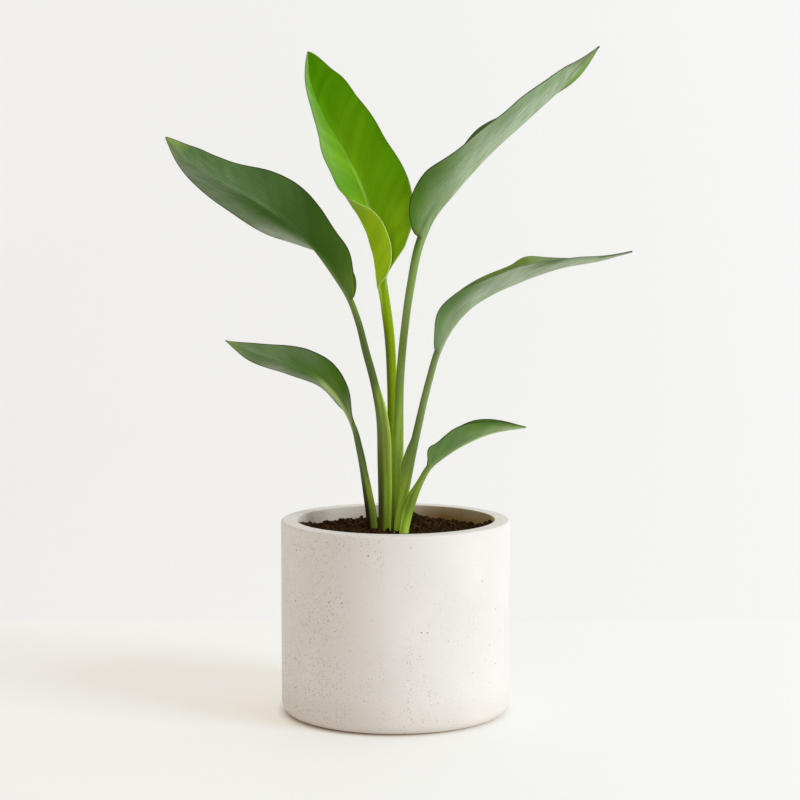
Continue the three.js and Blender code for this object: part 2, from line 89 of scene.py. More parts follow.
# Loose soil on the bed: name, how many times fewer than the crumbs, smallest and largest size in
# millimetres, and detail
LOOSE_SOIL = [("soil_crumbs", 1, (0.4, 1.3), 2), ("soil_clods", 7, (1.3, 2.6), 3)]

# Where the grains of perlite lie, in x and y, and their sizes, in millimetres
PERLITE_PATCH = ((-15, 14), (-18, 0))
PERLITE_SIZES = (0.25, 0.6)

# Seeds of the random draws, for the places and for the shapes of loose grains
CRUMB_SEEDS = (5, 11)
PERLITE_SEEDS = (3, 7)

# The form of every leaf section, in millimetres, as the frame's solids have it
KEEL_SPREAD = 1.1
KEEL_SHOULDER = 0.6
INNER_STOPS = (0.4, 0.7)
CHANNEL = 0.85
FOLD_SPAN = 0.17
FOLD_ROOM = 0.75
WAVE_SHIFT = 0.35

# How far the midrib's soft skirt reaches on the blade, in midrib radii, how far across a half the
# trough at the midrib is rounded, how strongly, and where on the blade both set in
KEEL_SKIRT = 2
TROUGH_REACH = 0.24
TROUGH_SOFTNESS = 0.45
BLADE_STARTS = (0.98, 1.12)

# How far forward the side veins fan as they run outward: a factor on the distance out to a power
FAN = 4.2
FAN_POWER = 0.62

# How far the keys of the wax bloom and painted sheen lie further forward at the margin, as places
# along the leaf
BLOOM_AND_SHEEN_SLANT = 0.12

# How much the blade thins towards its margins, and how far the rounded margins stand out, as
# shares of its thickness
THINNING = 0.45
BRIM = 0.2

# Columns across each half of a leaf and how they crowd towards the margin, and the length of its
# rows on the stalk and on the blade
KEEL_COLUMNS = 9
BLADE_COLUMNS = 22
CROWDING = 1.4
STALK_ROW = 2.5
BLADE_ROW = 1.0

# The newest leaf, which is still unrolling, and where along it the rolled part ends
YOUNG = "centre"
ROLLED_TO = (1.35, 1.38)

# A leaf's curves that stay at 1 where they have no keys. The others stay at 0
LEVEL_CURVES = ("left_width", "right_width")

# The six leaves, in millimetres and degrees. A place along a leaf counts 0 at the seat on the
# rootstock, 1 where the blade starts and 2 at the tip, and a key is a place with its value.
# Points of the spine: petiole and blade, from the seat to the tip.
# Outline: half_width, widest and fullness, and left_width and right_width for one half alone.
# late_right is the share of the blade over which the right half opens. wave is the height, number
# and phase of the waves at the margins.
# Section: rib is the midrib's radius, left and right are the directions of the halves, curl and
# curl_at fold the left half, and sheath is how much wider the stalk's wings are.
# Colours: stalk, green for the blade and wax_and_sheen for its wax bloom and painted sheen.
# bloom_and_sheen lays that colour as wax bloom and painted sheen, and light lays a lighter green
# that is partly the leaf's own yellow green and partly painted highlights on stalk wings and feet
# and a painted glow through the newest leaf. Each of their keys has four amounts: at the left
# margin, left and right of the midrib, and at the right margin.
# margin is how strong the dark margin is, stain_and_shade the brown on the stalk's back made
# darker as painted shade, and midrib how pale the midrib is, partly its own pale green and partly a
# painted highlight along it.
LEAVES = {}

LEAVES["upper_left"] = {
    "petiole": [
        (-8.5, -4, 118.3), (-8.5, -4, 140), (-9.5, -5, 195), (-11.4, -6, 237), (-16.1, -6, 262),
        (-22.3, -7, 285), (-28.3, -8, 308), (-34.7, -10, 325),
    ],
    "blade": [
        (-47.7, -13, 346), (-72, -18, 376), (-92, -23, 391), (-113, -28, 404), (-134, -33, 415.5),
        (-161, -37, 433.5), (-173.5, -38, 448.5),
    ],
    "half_width": 28, "widest": 0.4, "fullness": 0.6, "wave": (1, 3.5, 0.1), "margin": 0.85,
    "stalk": (0.07, 0.115, 0.022), "green": (0.042, 0.11, 0.009), "wax_and_sheen": (0.37, 0.42, 0.31),
    "rib": [(0, 4.5), (0.45, 4), (0.55, 3.8), (0.75, 3.5), (1, 2.5), (1.15, 2.2), (1.4, 1.8), (2, 0.45)],
    "left": [
        (0, 58), (0.42, 45), (0.65, 60), (0.95, 55), (1.04, 48), (1.16, 29), (1.25, 38), (1.36, 30),
        (1.48, 12), (1.56, 2), (1.65, -18), (1.75, -20), (1.88, -18), (2, -20),
    ],
    "right": [
        (0, -58), (0.42, -55), (0.95, -55), (1.06, -50), (1.15, -70), (1.25, -98), (1.4, -133),
        (1.55, -148), (1.8, -150), (2, -145),
    ],
    "left_width": [
        (0, 1), (1, 0.92), (1.12, 0.9), (1.25, 0.95), (1.42, 1), (1.56, 0.97), (1.65, 0.88), (1.8, 0.96),
        (1.9, 1.2), (2, 1.3),
    ],
    "right_width": [(0, 1), (1.25, 1), (1.4, 0.81), (1.8, 0.78), (2, 0.72)],
    "sheath": [(0, 4), (0.3, 4.6), (0.5, 5.4), (0.555, 4.6), (0.66, 0.4), (0.75, 0), (2, 0)],
    "bloom_and_sheen": [
        (0, 0, 0, 0, 0), (0.3, 0, 0, 0, 0), (0.5, 0.15, 0.1, 0.1, 0.15), (0.66, 0.03, 0, 0, 0.03),
        (1, 0, 0.1, 0.1, 0.1), (1.1, 0, 0.02, 0.1, 0.1), (1.18, 0, 0, 0.1, 0.5), (1.27, 0, 0, 0.02, 0.8),
        (1.34, 0.04, 0.04, 0, 0.75), (1.42, 0.07, 0.05, 0, 0.42), (1.55, 0.1, 0.13, 0.05, 0.33),
        (1.65, 0.12, 0.18, 0.2, 0.37), (1.8, 0.14, 0.22, 0.36, 0.5), (1.93, 0.12, 0.2, 0.3, 0.42),
        (2, 0, 0.05, 0.1, 0.1),
    ],
    "light": [
        (0, 1, 0.5, 0.5, 1), (0.3, 1, 0.4, 0.4, 1), (0.45, 1, 0.35, 0.35, 1), (0.57, 1, 0.25, 0.25, 1),
        (0.66, 0.12, 0.05, 0.05, 0.1), (0.9, 0.05, 0, 0, 0), (1.03, 0.25, 0.06, 0, 0),
        (1.14, 0.1, 0.02, 0, 0), (1.3, 0.02, 0, 0, 0), (1.9, 0.05, 0, 0, 0.02), (2, 0.6, 0.3, 0.2, 0.35),
    ],
    "stain_and_shade": [(0, 0.9), (0.3, 0.75), (0.5, 0.45), (0.65, 0.3), (0.85, 0.2), (1, 0)],
    "midrib": [(0, 0), (1, 0.18), (1.12, 0.24), (1.3, 0.04), (2, 0.02)],
}

LEAVES["centre"] = {
    "petiole": [
        (-2.7, 11, 118.3), (-2.7, 11, 140), (-2.7, 11, 200), (-2.6, 12, 255), (-5.2, 14, 300),
        (-9.8, 17, 332),
    ],
    "blade": [
        (-17, 20, 383), (-29, 25, 417), (-41, 29, 441), (-58, 32, 471), (-67, 34, 496), (-69, 35.5, 518.5),
    ],
    "half_width": 34, "widest": 0.44, "fullness": 0.6, "late_right": 0.16, "wave": (0.8, 3, 0.4),
    "margin": 0.45,
    "stalk": (0.15, 0.19, 0.012), "green": (0.1, 0.31, 0), "wax_and_sheen": (0.34, 0.47, 0.17),
    "rib": [(0, 3.8), (0.7, 3.6), (1, 3.5), (1.4, 1.6), (2, 0.45)],
    "left": [
        (0, 150), (1, 150), (1.15, 162), (1.26, 160), (1.33, 153), (1.4, 145), (1.5, 142), (1.6, 128),
        (1.72, 112), (2, 115),
    ],
    "right": [
        (0, 30), (0.95, 30), (1.04, 43), (1.12, 45), (1.17, 37), (1.24, 25), (1.32, 18), (1.42, 12),
        (1.52, 20), (1.8, 21), (2, 30),
    ],
    "left_width": [
        (0, 1), (1.2, 0.96), (1.4, 0.94), (1.5, 0.93), (1.6, 1.02), (1.67, 0.87), (1.75, 0.7), (1.88, 0.62),
        (2, 0.6),
    ],
    "right_width": [
        (0, 1), (1, 1), (1.15, 1), (1.24, 1.07), (1.34, 1.08), (1.42, 1.05), (1.52, 1.03), (1.62, 1.1),
        (1.75, 1.22), (1.9, 1.55), (2, 1.6),
    ],
    "curl": [
        (0, 0), (0.9, 0), (0.99, 5), (1.03, 80), (1.08, 115), (1.15, 130), (1.22, 124), (1.27, 113),
        (1.3, 104), (1.345, 76), (1.395, 53), (1.5, 45), (1.62, 20), (1.72, 5), (2, 0),
    ],
    "curl_at": [(0, 0.25), (1.2, 0.27), (1.26, 0.31), (1.34, 0.42), (2, 0.42)],
    "bloom_and_sheen": [
        (0, 0, 0, 0, 0), (1.3, 0, 0, 0, 0), (1.4, 0.3, 0.02, 0, 0), (1.6, 0.42, 0.06, 0, 0),
        (1.8, 0.42, 0.1, 0, 0), (1.95, 0.3, 0.1, 0, 0), (2, 0, 0, 0, 0),
    ],
    "light": [
        (0, 0, 0.2, 1, 1), (0.6, 0, 0.3, 1, 1), (0.85, 0.05, 0.6, 1, 1), (1, 0.9, 0.6, 1, 0.8),
        (1.1, 0.95, 0.95, 1, 0.5), (1.2, 1, 0.95, 0.75, 0.35), (1.27, 1, 0.9, 0.5, 0.35),
        (1.34, 1, 0.4, 0.25, 0.15), (1.4, 0.2, 0.15, 0.2, 0.06), (1.55, 0.1, 0.15, 0.22, 0),
        (1.7, 0, 0.1, 0.15, 0), (1.85, 0, 0.02, 0.03, 0), (2, 0, 0, 0, 0),
    ],
    "midrib": [(0, 0), (1.2, 0.3), (1.3, 0.6), (1.5, 0.5), (1.7, 0.2), (2, 0.05)],
}

LEAVES["upper_right"] = {
    "petiole": [
        (0.9, 2, 118.3), (0.9, 2, 140), (1.8, 2, 206), (2.3, 2, 261), (5.5, 3, 300), (10, 4, 332),
        (19.8, 6, 372.5),
    ],
    "blade": [
        (26.2, 8, 386.2), (45.2, 12, 409.8), (73.3, 18, 440.6), (104.4, 24, 468.6), (135.6, 28, 496),
        (160, 30, 522),
    ],
    "half_width": 31, "widest": 0.34, "fullness": 0.6, "wave": (1, 4, 0.2), "margin": 0.85,
    "stalk": (0.1, 0.165, 0.03), "green": (0.055, 0.14, 0.012), "wax_and_sheen": (0.39, 0.46, 0.31),
    "rib": [(0, 4.1), (0.5, 4), (1, 3.6), (1.15, 2.8), (1.6, 2.5), (2, 0.45)],
    "left": [
        (0, 215), (0.35, 217), (0.5, 235), (0.92, 235), (1.04, 205), (1.12, 203), (1.2, 212), (1.3, 235),
        (1.5, 238), (1.62, 246), (1.75, 272), (1.85, 290), (2, 312),
    ],
    "right": [
        (0, 145), (0.35, 143), (0.5, 125), (0.92, 125), (1.04, 155), (1.1, 166), (1.18, 157), (1.26, 136),
        (1.36, 122), (1.6, 124), (1.7, 131), (1.78, 146), (1.84, 165), (1.9, 200), (2, 215),
    ],
    "left_width": [
        (0, 1), (1, 0.8), (1.2, 0.82), (1.33, 0.96), (1.39, 1.12), (1.5, 1.1), (1.65, 1), (1.8, 1.05),
        (2, 1.3),
    ],
    "right_width": [
        (0, 1), (1, 0.93), (1.2, 0.96), (1.33, 1), (1.58, 1), (1.7, 0.92), (1.85, 0.85), (2, 0.8),
    ],
    "sheath": [(0, 2.4), (0.2, 2.4), (0.35, 1.6), (0.48, 0), (2, 0)],
    "bloom_and_sheen": [
        (0, 0.1, 0.1, 0.1, 0.1), (0.3, 0.1, 0.1, 0.1, 0.1), (0.5, 0.08, 0.08, 0.08, 0.03),
        (0.9, 0.1, 0.1, 0.14, 0.1), (1, 0, 0.1, 0.32, 0), (1.1, 0, 0, 0.4, 0.1), (1.18, 0, 0, 0.57, 0.24),
        (1.25, 0, 0, 0.74, 0.45), (1.35, 0, 0, 0.84, 0.52), (1.45, 0, 0, 0.9, 0.4),
        (1.6, 0, 0.1, 0.94, 0.5), (1.75, 0, 0.2, 0.78, 0.5), (1.87, 0.1, 0.2, 0.76, 0.55),
        (1.95, 0.1, 0.1, 0.4, 0.3), (2, 0, 0, 0, 0),
    ],
    "light": [
        (0, 1, 1, 1, 1), (0.3, 0.9, 0.9, 1, 0.9), (0.42, 0.5, 0.5, 0.75, 0.4),
        (0.52, 0.15, 0.15, 0.3, 0.15), (0.7, 0.2, 0.2, 0.2, 0.15), (0.92, 0.1, 0.15, 0.2, 0.1),
        (1, 0.03, 0.08, 0.12, 0), (1.15, 0.02, 0.05, 0.08, 0), (1.25, 0.05, 0.05, 0.05, 0.08),
        (1.4, 0, 0, 0, 0), (1.7, 0.12, 0.06, 0, 0), (1.9, 0.3, 0.2, 0, 0), (2, 0.25, 0.25, 0.1, 0.1),
    ],
    "midrib": [(0, 0), (1, 0.12), (1.2, 0.15), (1.4, 0.08), (2, 0)],
}

LEAVES["middle_right"] = {
    "petiole": [
        (1.6, -7, 118.3), (1.9, -7, 140), (8.4, -7, 183), (16.2, -7.5, 223), (25.2, -9, 262),
        (32, -11, 285),
    ],
    "blade": [
        (39, -13, 300), (54, -17, 319), (73, -20, 332), (96, -23, 342), (126, -27, 351.5),
        (157, -30, 356.5), (180.5, -32, 362.5),
    ],
    "half_width": 20.5, "widest": 0.3, "fullness": 0.85, "wave": (0.8, 3.5, 0.5), "margin": 0.4,
    "stalk": (0.1, 0.16, 0.028), "green": (0.075, 0.155, 0.028), "wax_and_sheen": (0.42, 0.48, 0.34),
    "rib": [(0, 3.5), (0.6, 3.4), (1, 3.2), (1.25, 3.3), (1.5, 3.1), (1.7, 1.9), (1.85, 1.1), (2, 0.45)],
    "left": [
        (0, 215), (0.5, 215), (0.65, 232), (1.05, 238), (1.15, 228), (1.25, 236), (1.4, 240), (1.48, 232),
        (1.56, 212), (1.64, 230), (1.75, 238), (1.85, 215), (2, 190),
    ],
    "right": [
        (0, 143), (0.5, 143), (0.65, 127), (1.05, 122), (1.15, 139), (1.25, 127), (1.4, 120), (1.6, 122),
        (1.72, 124), (1.85, 150), (2, 170),
    ],
    "sheath": [(0, 1.4), (0.25, 1.4), (0.37, 1.8), (0.46, 3.6), (0.52, 2.4), (0.58, 0), (2, 0)],
    "bloom_and_sheen": [
        (0, 0, 0, 0, 0), (0.45, 0.03, 0.03, 0.06, 0.03), (0.7, 0.12, 0.12, 0.14, 0.12),
        (0.9, 0.12, 0.12, 0.2, 0.15), (1, 0, 0, 0.48, 0.15), (1.08, 0, 0, 0.48, 0.06),
        (1.17, 0, 0, 0.55, 0.1), (1.27, 0, 0, 0.86, 0.4), (1.38, 0, 0, 0.9, 0.75),
        (1.47, 0.2, 0.1, 0.95, 0.62), (1.55, 0.35, 0.2, 0.96, 0.2), (1.68, 0.3, 0.3, 1, 0.75),
        (1.8, 0.6, 0.7, 1, 0.2), (1.92, 0.6, 0.7, 0.9, 0.15), (2, 0.2, 0.3, 0.3, 0.1),
    ],
    "light": [
        (0, 1, 1, 1, 1), (0.3, 0.7, 0.9, 0.95, 0.7), (0.42, 0.2, 0.3, 0.4, 0.3),
        (0.52, 0.1, 0.12, 0.2, 0.08), (0.8, 0.06, 0.08, 0.1, 0.05), (1, 0, 0.05, 0.05, 0),
        (1.45, 0.3, 0.1, 0, 0.03), (1.55, 0.4, 0.2, 0, 0.05), (1.65, 0.1, 0, 0, 0), (1.75, 0, 0, 0.12, 0),
        (2, 0, 0, 0, 0),
    ],
    "midrib": [(0, 0), (1, 0.12), (1.2, 0.15), (1.4, 0.1), (2, 0)],
}

LEAVES["lower_left"] = {
    "petiole": [(-17.5, 2, 118.3), (-17.5, 2, 136), (-22, 4, 174), (-27.5, 6, 206), (-32.5, 8, 226)],
    "blade": [
        (-38, 10, 237), (-48, 13, 250), (-61, 16, 262), (-83, 20, 271.5), (-106, 24, 279.5),
        (-135, 28, 290.5),
    ],
    "half_width": 16.5, "widest": 0.42, "fullness": 0.85, "wave": (0.6, 3, 0), "margin": 0.85,
    "stalk": (0.08, 0.125, 0.03), "green": (0.058, 0.15, 0.01), "wax_and_sheen": (0.38, 0.42, 0.33),
    "rib": [(0, 4.6), (0.4, 3.7), (1, 2.8), (1.35, 2.5), (2, 0.4)],
    "left": [
        (0, 60), (0.9, 60), (1.04, 80), (1.1, 64), (1.17, 42), (1.25, 28), (1.35, 18), (1.45, 12),
        (1.53, -6), (1.6, -18), (1.7, -25), (1.85, -30), (2, -45),
    ],
    "right": [
        (0, -60), (0.85, -60), (0.95, -75), (1.04, -97), (1.14, -108), (1.3, -116), (1.4, -124),
        (1.6, -135), (1.75, -150), (2, -155),
    ],
    "left_width": [(0, 1), (1.1, 1.04), (1.25, 0.98), (1.45, 0.94), (1.7, 0.93), (2, 0.9)],
    "right_width": [(0, 1), (1.14, 1), (1.3, 0.66), (1.6, 0.7), (1.75, 0.88), (1.88, 1.3), (2, 1.6)],
    "sheath": [(0, 3), (0.33, 2.6), (0.5, 1.2), (0.65, 0), (2, 0)],
    "bloom_and_sheen": [
        (0, 0, 0, 0, 0), (0.5, 0.03, 0.03, 0.03, 0.03), (0.7, 0.1, 0.12, 0.12, 0.1),
        (0.95, 0.1, 0.18, 0.18, 0.1), (1.03, 0.2, 0.45, 0.45, 0.2), (1.1, 0, 0.26, 0.4, 0.3),
        (1.25, 0, 0.06, 0.4, 0.6), (1.36, 0.18, 0.03, 0.04, 0.5), (1.45, 0.25, 0.08, 0.03, 0.5),
        (1.55, 0.26, 0.14, 0.18, 0.72), (1.7, 0.26, 0.3, 0.26, 0.36), (1.85, 0.25, 0.32, 0.26, 0.32),
        (2, 0, 0.1, 0.1, 0.05),
    ],
    "light": [
        (0, 1, 0.05, 0.05, 1), (0.3, 0.9, 0.05, 0.05, 0.9), (0.5, 1, 0.1, 0.1, 1),
        (0.62, 0.5, 0.1, 0.1, 0.5), (0.75, 0.12, 0.08, 0.08, 0.12), (0.95, 0.12, 0.1, 0.1, 0.12),
        (1.04, 0.25, 0.3, 0.3, 0.2), (1.1, 0.05, 0.12, 0.2, 0.1), (1.3, 0, 0.05, 0.1, 0.1),
        (1.5, 0, 0, 0, 0), (1.85, 0, 0, 0, 0.1), (2, 0.4, 0.3, 0.4, 0.5),
    ],
    "stain_and_shade": [(0, 1), (0.38, 1), (0.5, 0.8), (0.65, 0.35), (1, 0)],
    "midrib": [(0, 0), (0.95, 0.1), (1.06, 0.95), (1.3, 1), (1.37, 0.25), (1.45, 0.03), (2, 0.05)],
}

LEAVES["lower_right"] = {
    "petiole": [
        (5.2, -14, 118.3), (5.4, -14, 134), (12.9, -15, 168), (18.8, -16, 183.4), (25.5, -17.5, 195.3),
    ],
    "blade": [(37.2, -20, 205.2), (53.4, -23, 215), (72.4, -27, 223), (100, -33, 228)],
    "half_width": 16.5, "widest": 0.38, "fullness": 0.72, "wave": (0.6, 2.5, 0.3), "margin": 0.7,
    "stalk": (0.1, 0.16, 0.018), "green": (0.09, 0.2, 0.028), "wax_and_sheen": (0.45, 0.52, 0.36),
    "rib": [(0, 3.3), (0.6, 2.9), (1, 2.5), (1.3, 1.9), (2, 0.4)],
    "left": [(0, 215), (0.7, 218), (0.9, 236), (1.1, 236), (1.4, 226), (1.7, 220), (2, 215)],
    "right": [(0, 145), (0.7, 142), (0.9, 124), (1.1, 136), (1.45, 142), (1.6, 146), (1.8, 142), (2, 140)],
    "right_width": [
        (0, 1), (1, 0.3), (1.05, 0.68), (1.1, 1.16), (1.15, 1.24), (1.2, 1.05), (1.26, 0.97), (1.36, 1.03),
        (1.5, 1.05), (1.8, 1.1), (1.92, 1.4), (2, 1.6),
    ],
    "sheath": [(0, 0.8), (0.35, 1.6), (0.5, 2.8), (0.66, 3), (0.8, 0.6), (0.88, 0), (2, 0)],
    "bloom_and_sheen": [
        (0, 0, 0, 0, 0), (0.9, 0, 0, 0.02, 0), (1, 0, 0.1, 0.15, 0.1), (1.2, 0, 0.1, 0.14, 0.08),
        (1.35, 0, 0.1, 0.2, 0.1), (1.5, 0, 0, 0.26, 0.03), (1.7, 0, 0, 0.46, 0.05), (1.88, 0, 0, 0.8, 0),
        (2, 0.2, 0.2, 0.4, 0.2),
    ],
    "light": [
        (0, 1, 1, 1, 1), (0.42, 0.9, 0.85, 0.85, 0.9), (0.55, 0.4, 0.35, 0.35, 0.3),
        (0.8, 0.35, 0.35, 0.35, 0.35), (0.95, 0.2, 0.2, 0.2, 0.2), (1.2, 0, 0, 0.05, 0),
        (1.6, 0, 0, 0.1, 0), (1.9, 0, 0, 0.3, 0), (2, 0.5, 0.5, 0.5, 0.4),
    ],
    "midrib": [(0, 0), (1, 0.25), (1.3, 0.5), (1.5, 0.9), (1.9, 1), (2, 0.5)],
}


def colour(name, description, default):
    """A colour property, in linear red, green and blue."""
    return FloatVectorProperty(
        name=name, description=description, subtype="COLOR", size=3, min=0, max=1, default=default
    )


def length(name, description, default):
    """A length property, in metres."""
    return FloatProperty(
        name=name, description=description, unit="LENGTH", min=0, precision=5, default=default
    )


def spot(name, description, default):
    """The place of something, in metres."""
    return FloatVectorProperty(
        name=name, description=description, subtype="TRANSLATION", size=3, default=default
    )


class PotSettings(PropertyGroup):
    """Sizes and finish of the pot."""

    radius: length("Radius", "Outer radius of the pot", POT_HIGH.x)
    height: length("Height", "Height of the pot", POT_HIGH.z)
    wall: length("Wall", "Thickness of the wall", POT_HIGH.x - SOIL_RADIUS - GAP)
    floor: length("Floor", "Thickness of the floor", SOIL_LOW.z - GAP)
    foot_radius: length("Foot Radius", "Rounding of the foot", 8.5 * MM)
    rim_radius: length("Rim Radius", "Rounding of the rim's outer edge", 2 * MM)
    lip_radius: length("Lip Radius", "Rounding of the rim's inner edge", 0.8 * MM)
    unevenness: length("Unevenness", "How far the cast surface strays from true", 0.12 * MM)
    stone: colour("Stone", "Colour of the cast stone", (0.75, 0.71, 0.67))
    # The pore colour is painted shade, inside the pinholes and in the crevice under the foot
    pore: colour("Pore", "Colour inside the pinholes", (0.11, 0.09, 0.07))
    # The soil stain colour also paints shade inside the pot, strongest on the right
    soil_stain_and_shade: colour("Soil Stain", "Where damp soil has stained the stone", (0.38, 0.22, 0.065))


class SoilSettings(PropertyGroup):
    """Form and colours of the soil."""

    below_rim: length("Below Rim", "Depth of the soil below the rim", 11.2 * MM)
    lump: length("Lump", "Size of the larger lumps", 5 * MM)
    crumbs: IntProperty(name="Crumbs", description="Loose crumbs on the soil", min=0, default=2300)
    perlite: IntProperty(name="Perlite", description="Pale grains by the stalks", min=0, default=22)
    dark: colour("Dark", "Colour between the crumbs", (0.01, 0.0045, 0.001))
    # The lighter colour of the crumbs' tops is a painted highlight
    light: colour("Light", "Colour of the crumbs' tops", (0.115, 0.05, 0.014))
    pale: colour("Pale", "Colour of the perlite grains", (0.34, 0.36, 0.24))
    root: colour("Root", "Colour of the rootstock's skin", (0.28, 0.2, 0.1))


class LeafSettings(PropertyGroup):
    """Form and colours of the leaves."""

    thickness: length("Thickness", "Thickness of a blade", 0.9 * MM)
    vein_spacing: length("Vein Spacing", "Distance between side veins along the midrib", 2.4 * MM)
    pleat: length("Pleat", "Depth of the soft pleats between the side veins", 0.12 * MM)
    pleat_pitch: length("Pleat Pitch", "Distance between pleats along the midrib", 14 * MM)
    margin_width: length("Margin Width", "Width of the thin dark margin", 0.75 * MM)
    # The light and young light greens are partly the leaves' own yellow green and partly painted highlights
    # on the stalks' wings and feet and along the midribs, and a painted glow through the newest leaf
    light: colour("Light", "Yellow green of tips, feet and midribs", (0.45, 0.68, 0.06))
    young_light: colour("Young Light", "Yellow green of the newest leaf", (0.42, 0.65, 0.015))
    # The stain colour is the brown purple of old stalk feet, made darker as painted shade
    stain_and_shade: colour("Stain", "Brown purple at the foot of older stalks", (0.022, 0.012, 0.002))
    margin: colour("Margin", "The thin dark margin", (0.03, 0.022, 0.008))
    # The rim colour is a painted highlight along the edge of the newest leaf's rolled part
    rim: colour("Rim", "The pale rim of the newest leaf's rolled part", (0.8, 0.92, 0.45))


class StudioSettings(PropertyGroup):
    """The camera, the lights and the backdrop."""

    camera: spot("Camera", "Where the camera stands", (3.5 * MM, -1560 * MM, 385 * MM))
    pitch: FloatProperty(
        name="Pitch", description="How far the camera looks down", subtype="ANGLE",
        default=math.radians(5.1),
    )
    lens: FloatProperty(name="Lens", description="Focal length in millimetres", min=1, default=90)
    wall_distance: length("Wall Distance", "From the pot's axis back to the wall", 353 * MM)
    key_place: spot("Key Place", "Where the soft light on the right stands", (3.12, -1.66, 1.88))
    key_size: length("Key Size", "Width and height of the soft light", 1.5)
    key_power: FloatProperty(name="Key Power", description="Soft light's power", min=0, default=98)
    key_colour: colour("Key Colour", "Tint of the soft light", (0.82, 0.91, 1))
    fill: FloatProperty(name="Fill", description="Light from all round", min=0, default=0.63)
    fill_colour: colour("Fill Colour", "Tint of the light from all round", (1, 0.935, 0.84))
    floor: colour("Floor", "Colour of the floor", (0.45, 0.55, 0.63))
    floor_glow: colour("Floor Glow", "Light that shines through the floor", (0.44, 0.345, 0.25))
    wall: colour("Wall", "Colour of the wall", (0.39, 0.41, 0.45))
    wall_glow: colour("Wall Glow", "Light that shines through the wall", (0.505, 0.48, 0.432))
    shade: colour("Shade", "Colour of the floor in the pot's shade", (0.36, 0.27, 0.17))


class PlantSettings(PropertyGroup):
    """Everything that a user may change."""

    pot: PointerProperty(type=PotSettings)
    soil: PointerProperty(type=SoilSettings)
    leaves: PointerProperty(type=LeafSettings)
    studio: PointerProperty(type=StudioSettings)


# Curves through keys


def value_at(keys, place, column=1):
    """The value in one column at places between the keys, on a smooth curve through them all."""
    at, values = np.array(keys, float)[:, [0, column]].T
    step = np.diff(at)
    rise = np.diff(values) / step
    inner = (rise[:-1] * step[1:] + rise[1:] * step[:-1]) / (step[:-1] + step[1:])
    slope = np.concatenate([rise[:1], inner, rise[-1:]])
    place = np.clip(place, at[0], at[-1])
    index = np.clip(np.searchsorted(at, place, side="right") - 1, 0, len(step) - 1)
    u = (place - at[index]) / step[index]
    return (
        values[index] * (2 * u**3 - 3 * u**2 + 1)
        + values[index + 1] * (3 * u**2 - 2 * u**3)
        + slope[index] * step[index] * (u**3 - 2 * u**2 + u)
        + slope[index + 1] * step[index] * (u**3 - u**2)
    )


def curve(leaf, name, place, column=1):
    """The value of one of a leaf's curves at places along it."""
    level = 1 if name in LEVEL_CURVES else 0
    return value_at(leaf.get(name, [(0, level), (2, level)]), place, column)


def smooth(value, low, high):
    """A smooth step from 0 at low to 1 at high."""
    t = np.clip((value - low) / (high - low), 0, 1)
    return t * t * (3 - 2 * t)


# Meshes


def directions(count):
    """Unit steps in x and y to all sides of the upright axis."""
    return [(math.cos(angle), math.sin(angle)) for angle in np.arange(count) * 2 * math.pi / count]


def tube_faces(rows, columns):
    """Faces of a grid whose rows are closed loops, with a face at each end."""
    row, column = np.meshgrid(np.arange(rows - 1), np.arange(columns), indexing="ij")
    first = row * columns + column
    second = row * columns + (column + 1) % columns
    faces = np.stack([first, second, second + columns, first + columns], axis=-1).reshape(-1, 4).tolist()
    ends = [range(columns)[::-1], range((rows - 1) * columns, rows * columns)]
    return faces + [list(end) for end in ends]


def add_object(name, data):
    """A new object in the scene."""
    made = bpy.data.objects.new(name, data)
    bpy.context.scene.collection.objects.link(made)
    return made


def make_piece(name, points, faces, material, attributes=None):
    """A smooth piece that rides on the plant's body, with its faces turned to point out."""
    mesh = bpy.data.meshes.new(name)
    mesh.from_pydata(np.asarray(points).tolist(), [], faces)
    for attribute, values in (attributes or {}).items():
        layer = mesh.attributes.new(attribute, "FLOAT", "POINT")
        layer.data.foreach_set("value", np.asarray(values, np.float32).ravel())
    shape = bmesh.new()
    shape.from_mesh(mesh)
    bmesh.ops.recalc_face_normals(shape, faces=shape.faces)
    shape.to_mesh(mesh)
    shape.free()
    mesh.shade_smooth()
    mesh.materials.append(material)
    piece = add_object(name, mesh)
    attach(piece, BODY)
    return piece


def random_lumps(places, sizes, seed, detail):
    """Points and faces of rough lumps, one at each place, each turned and squashed its own way."""
    shape = bmesh.new()
    bmesh.ops.create_icosphere(shape, subdivisions=detail, radius=1)
    ball = np.array([vertex.co for vertex in shape.verts])
    triangles = np.array([[vertex.index for vertex in face.verts] for face in shape.faces])
    shape.free()
    random = np.random.default_rng(seed)
    points = []
    faces = []
    for number, (place, size) in enumerate(zip(places, sizes)):
        turn, _ = np.linalg.qr(random.normal(size=(3, 3)))
        squash = random.uniform(0.7, 1.1, 3)
        shift = random.uniform(-50, 50, 3)
        bumps = np.array([noise.fractal(Vector(point * 0.9 + shift), 0.7, 2.2, 3) for point in ball])
        lump = ball * squash * (1 + 0.5 * bumps)[:, None]
        points.append(place + size * lump @ turn)
        faces.append(triangles + number * len(ball))
    return np.concatenate(points), np.concatenate(faces).tolist()


# Shader nodes


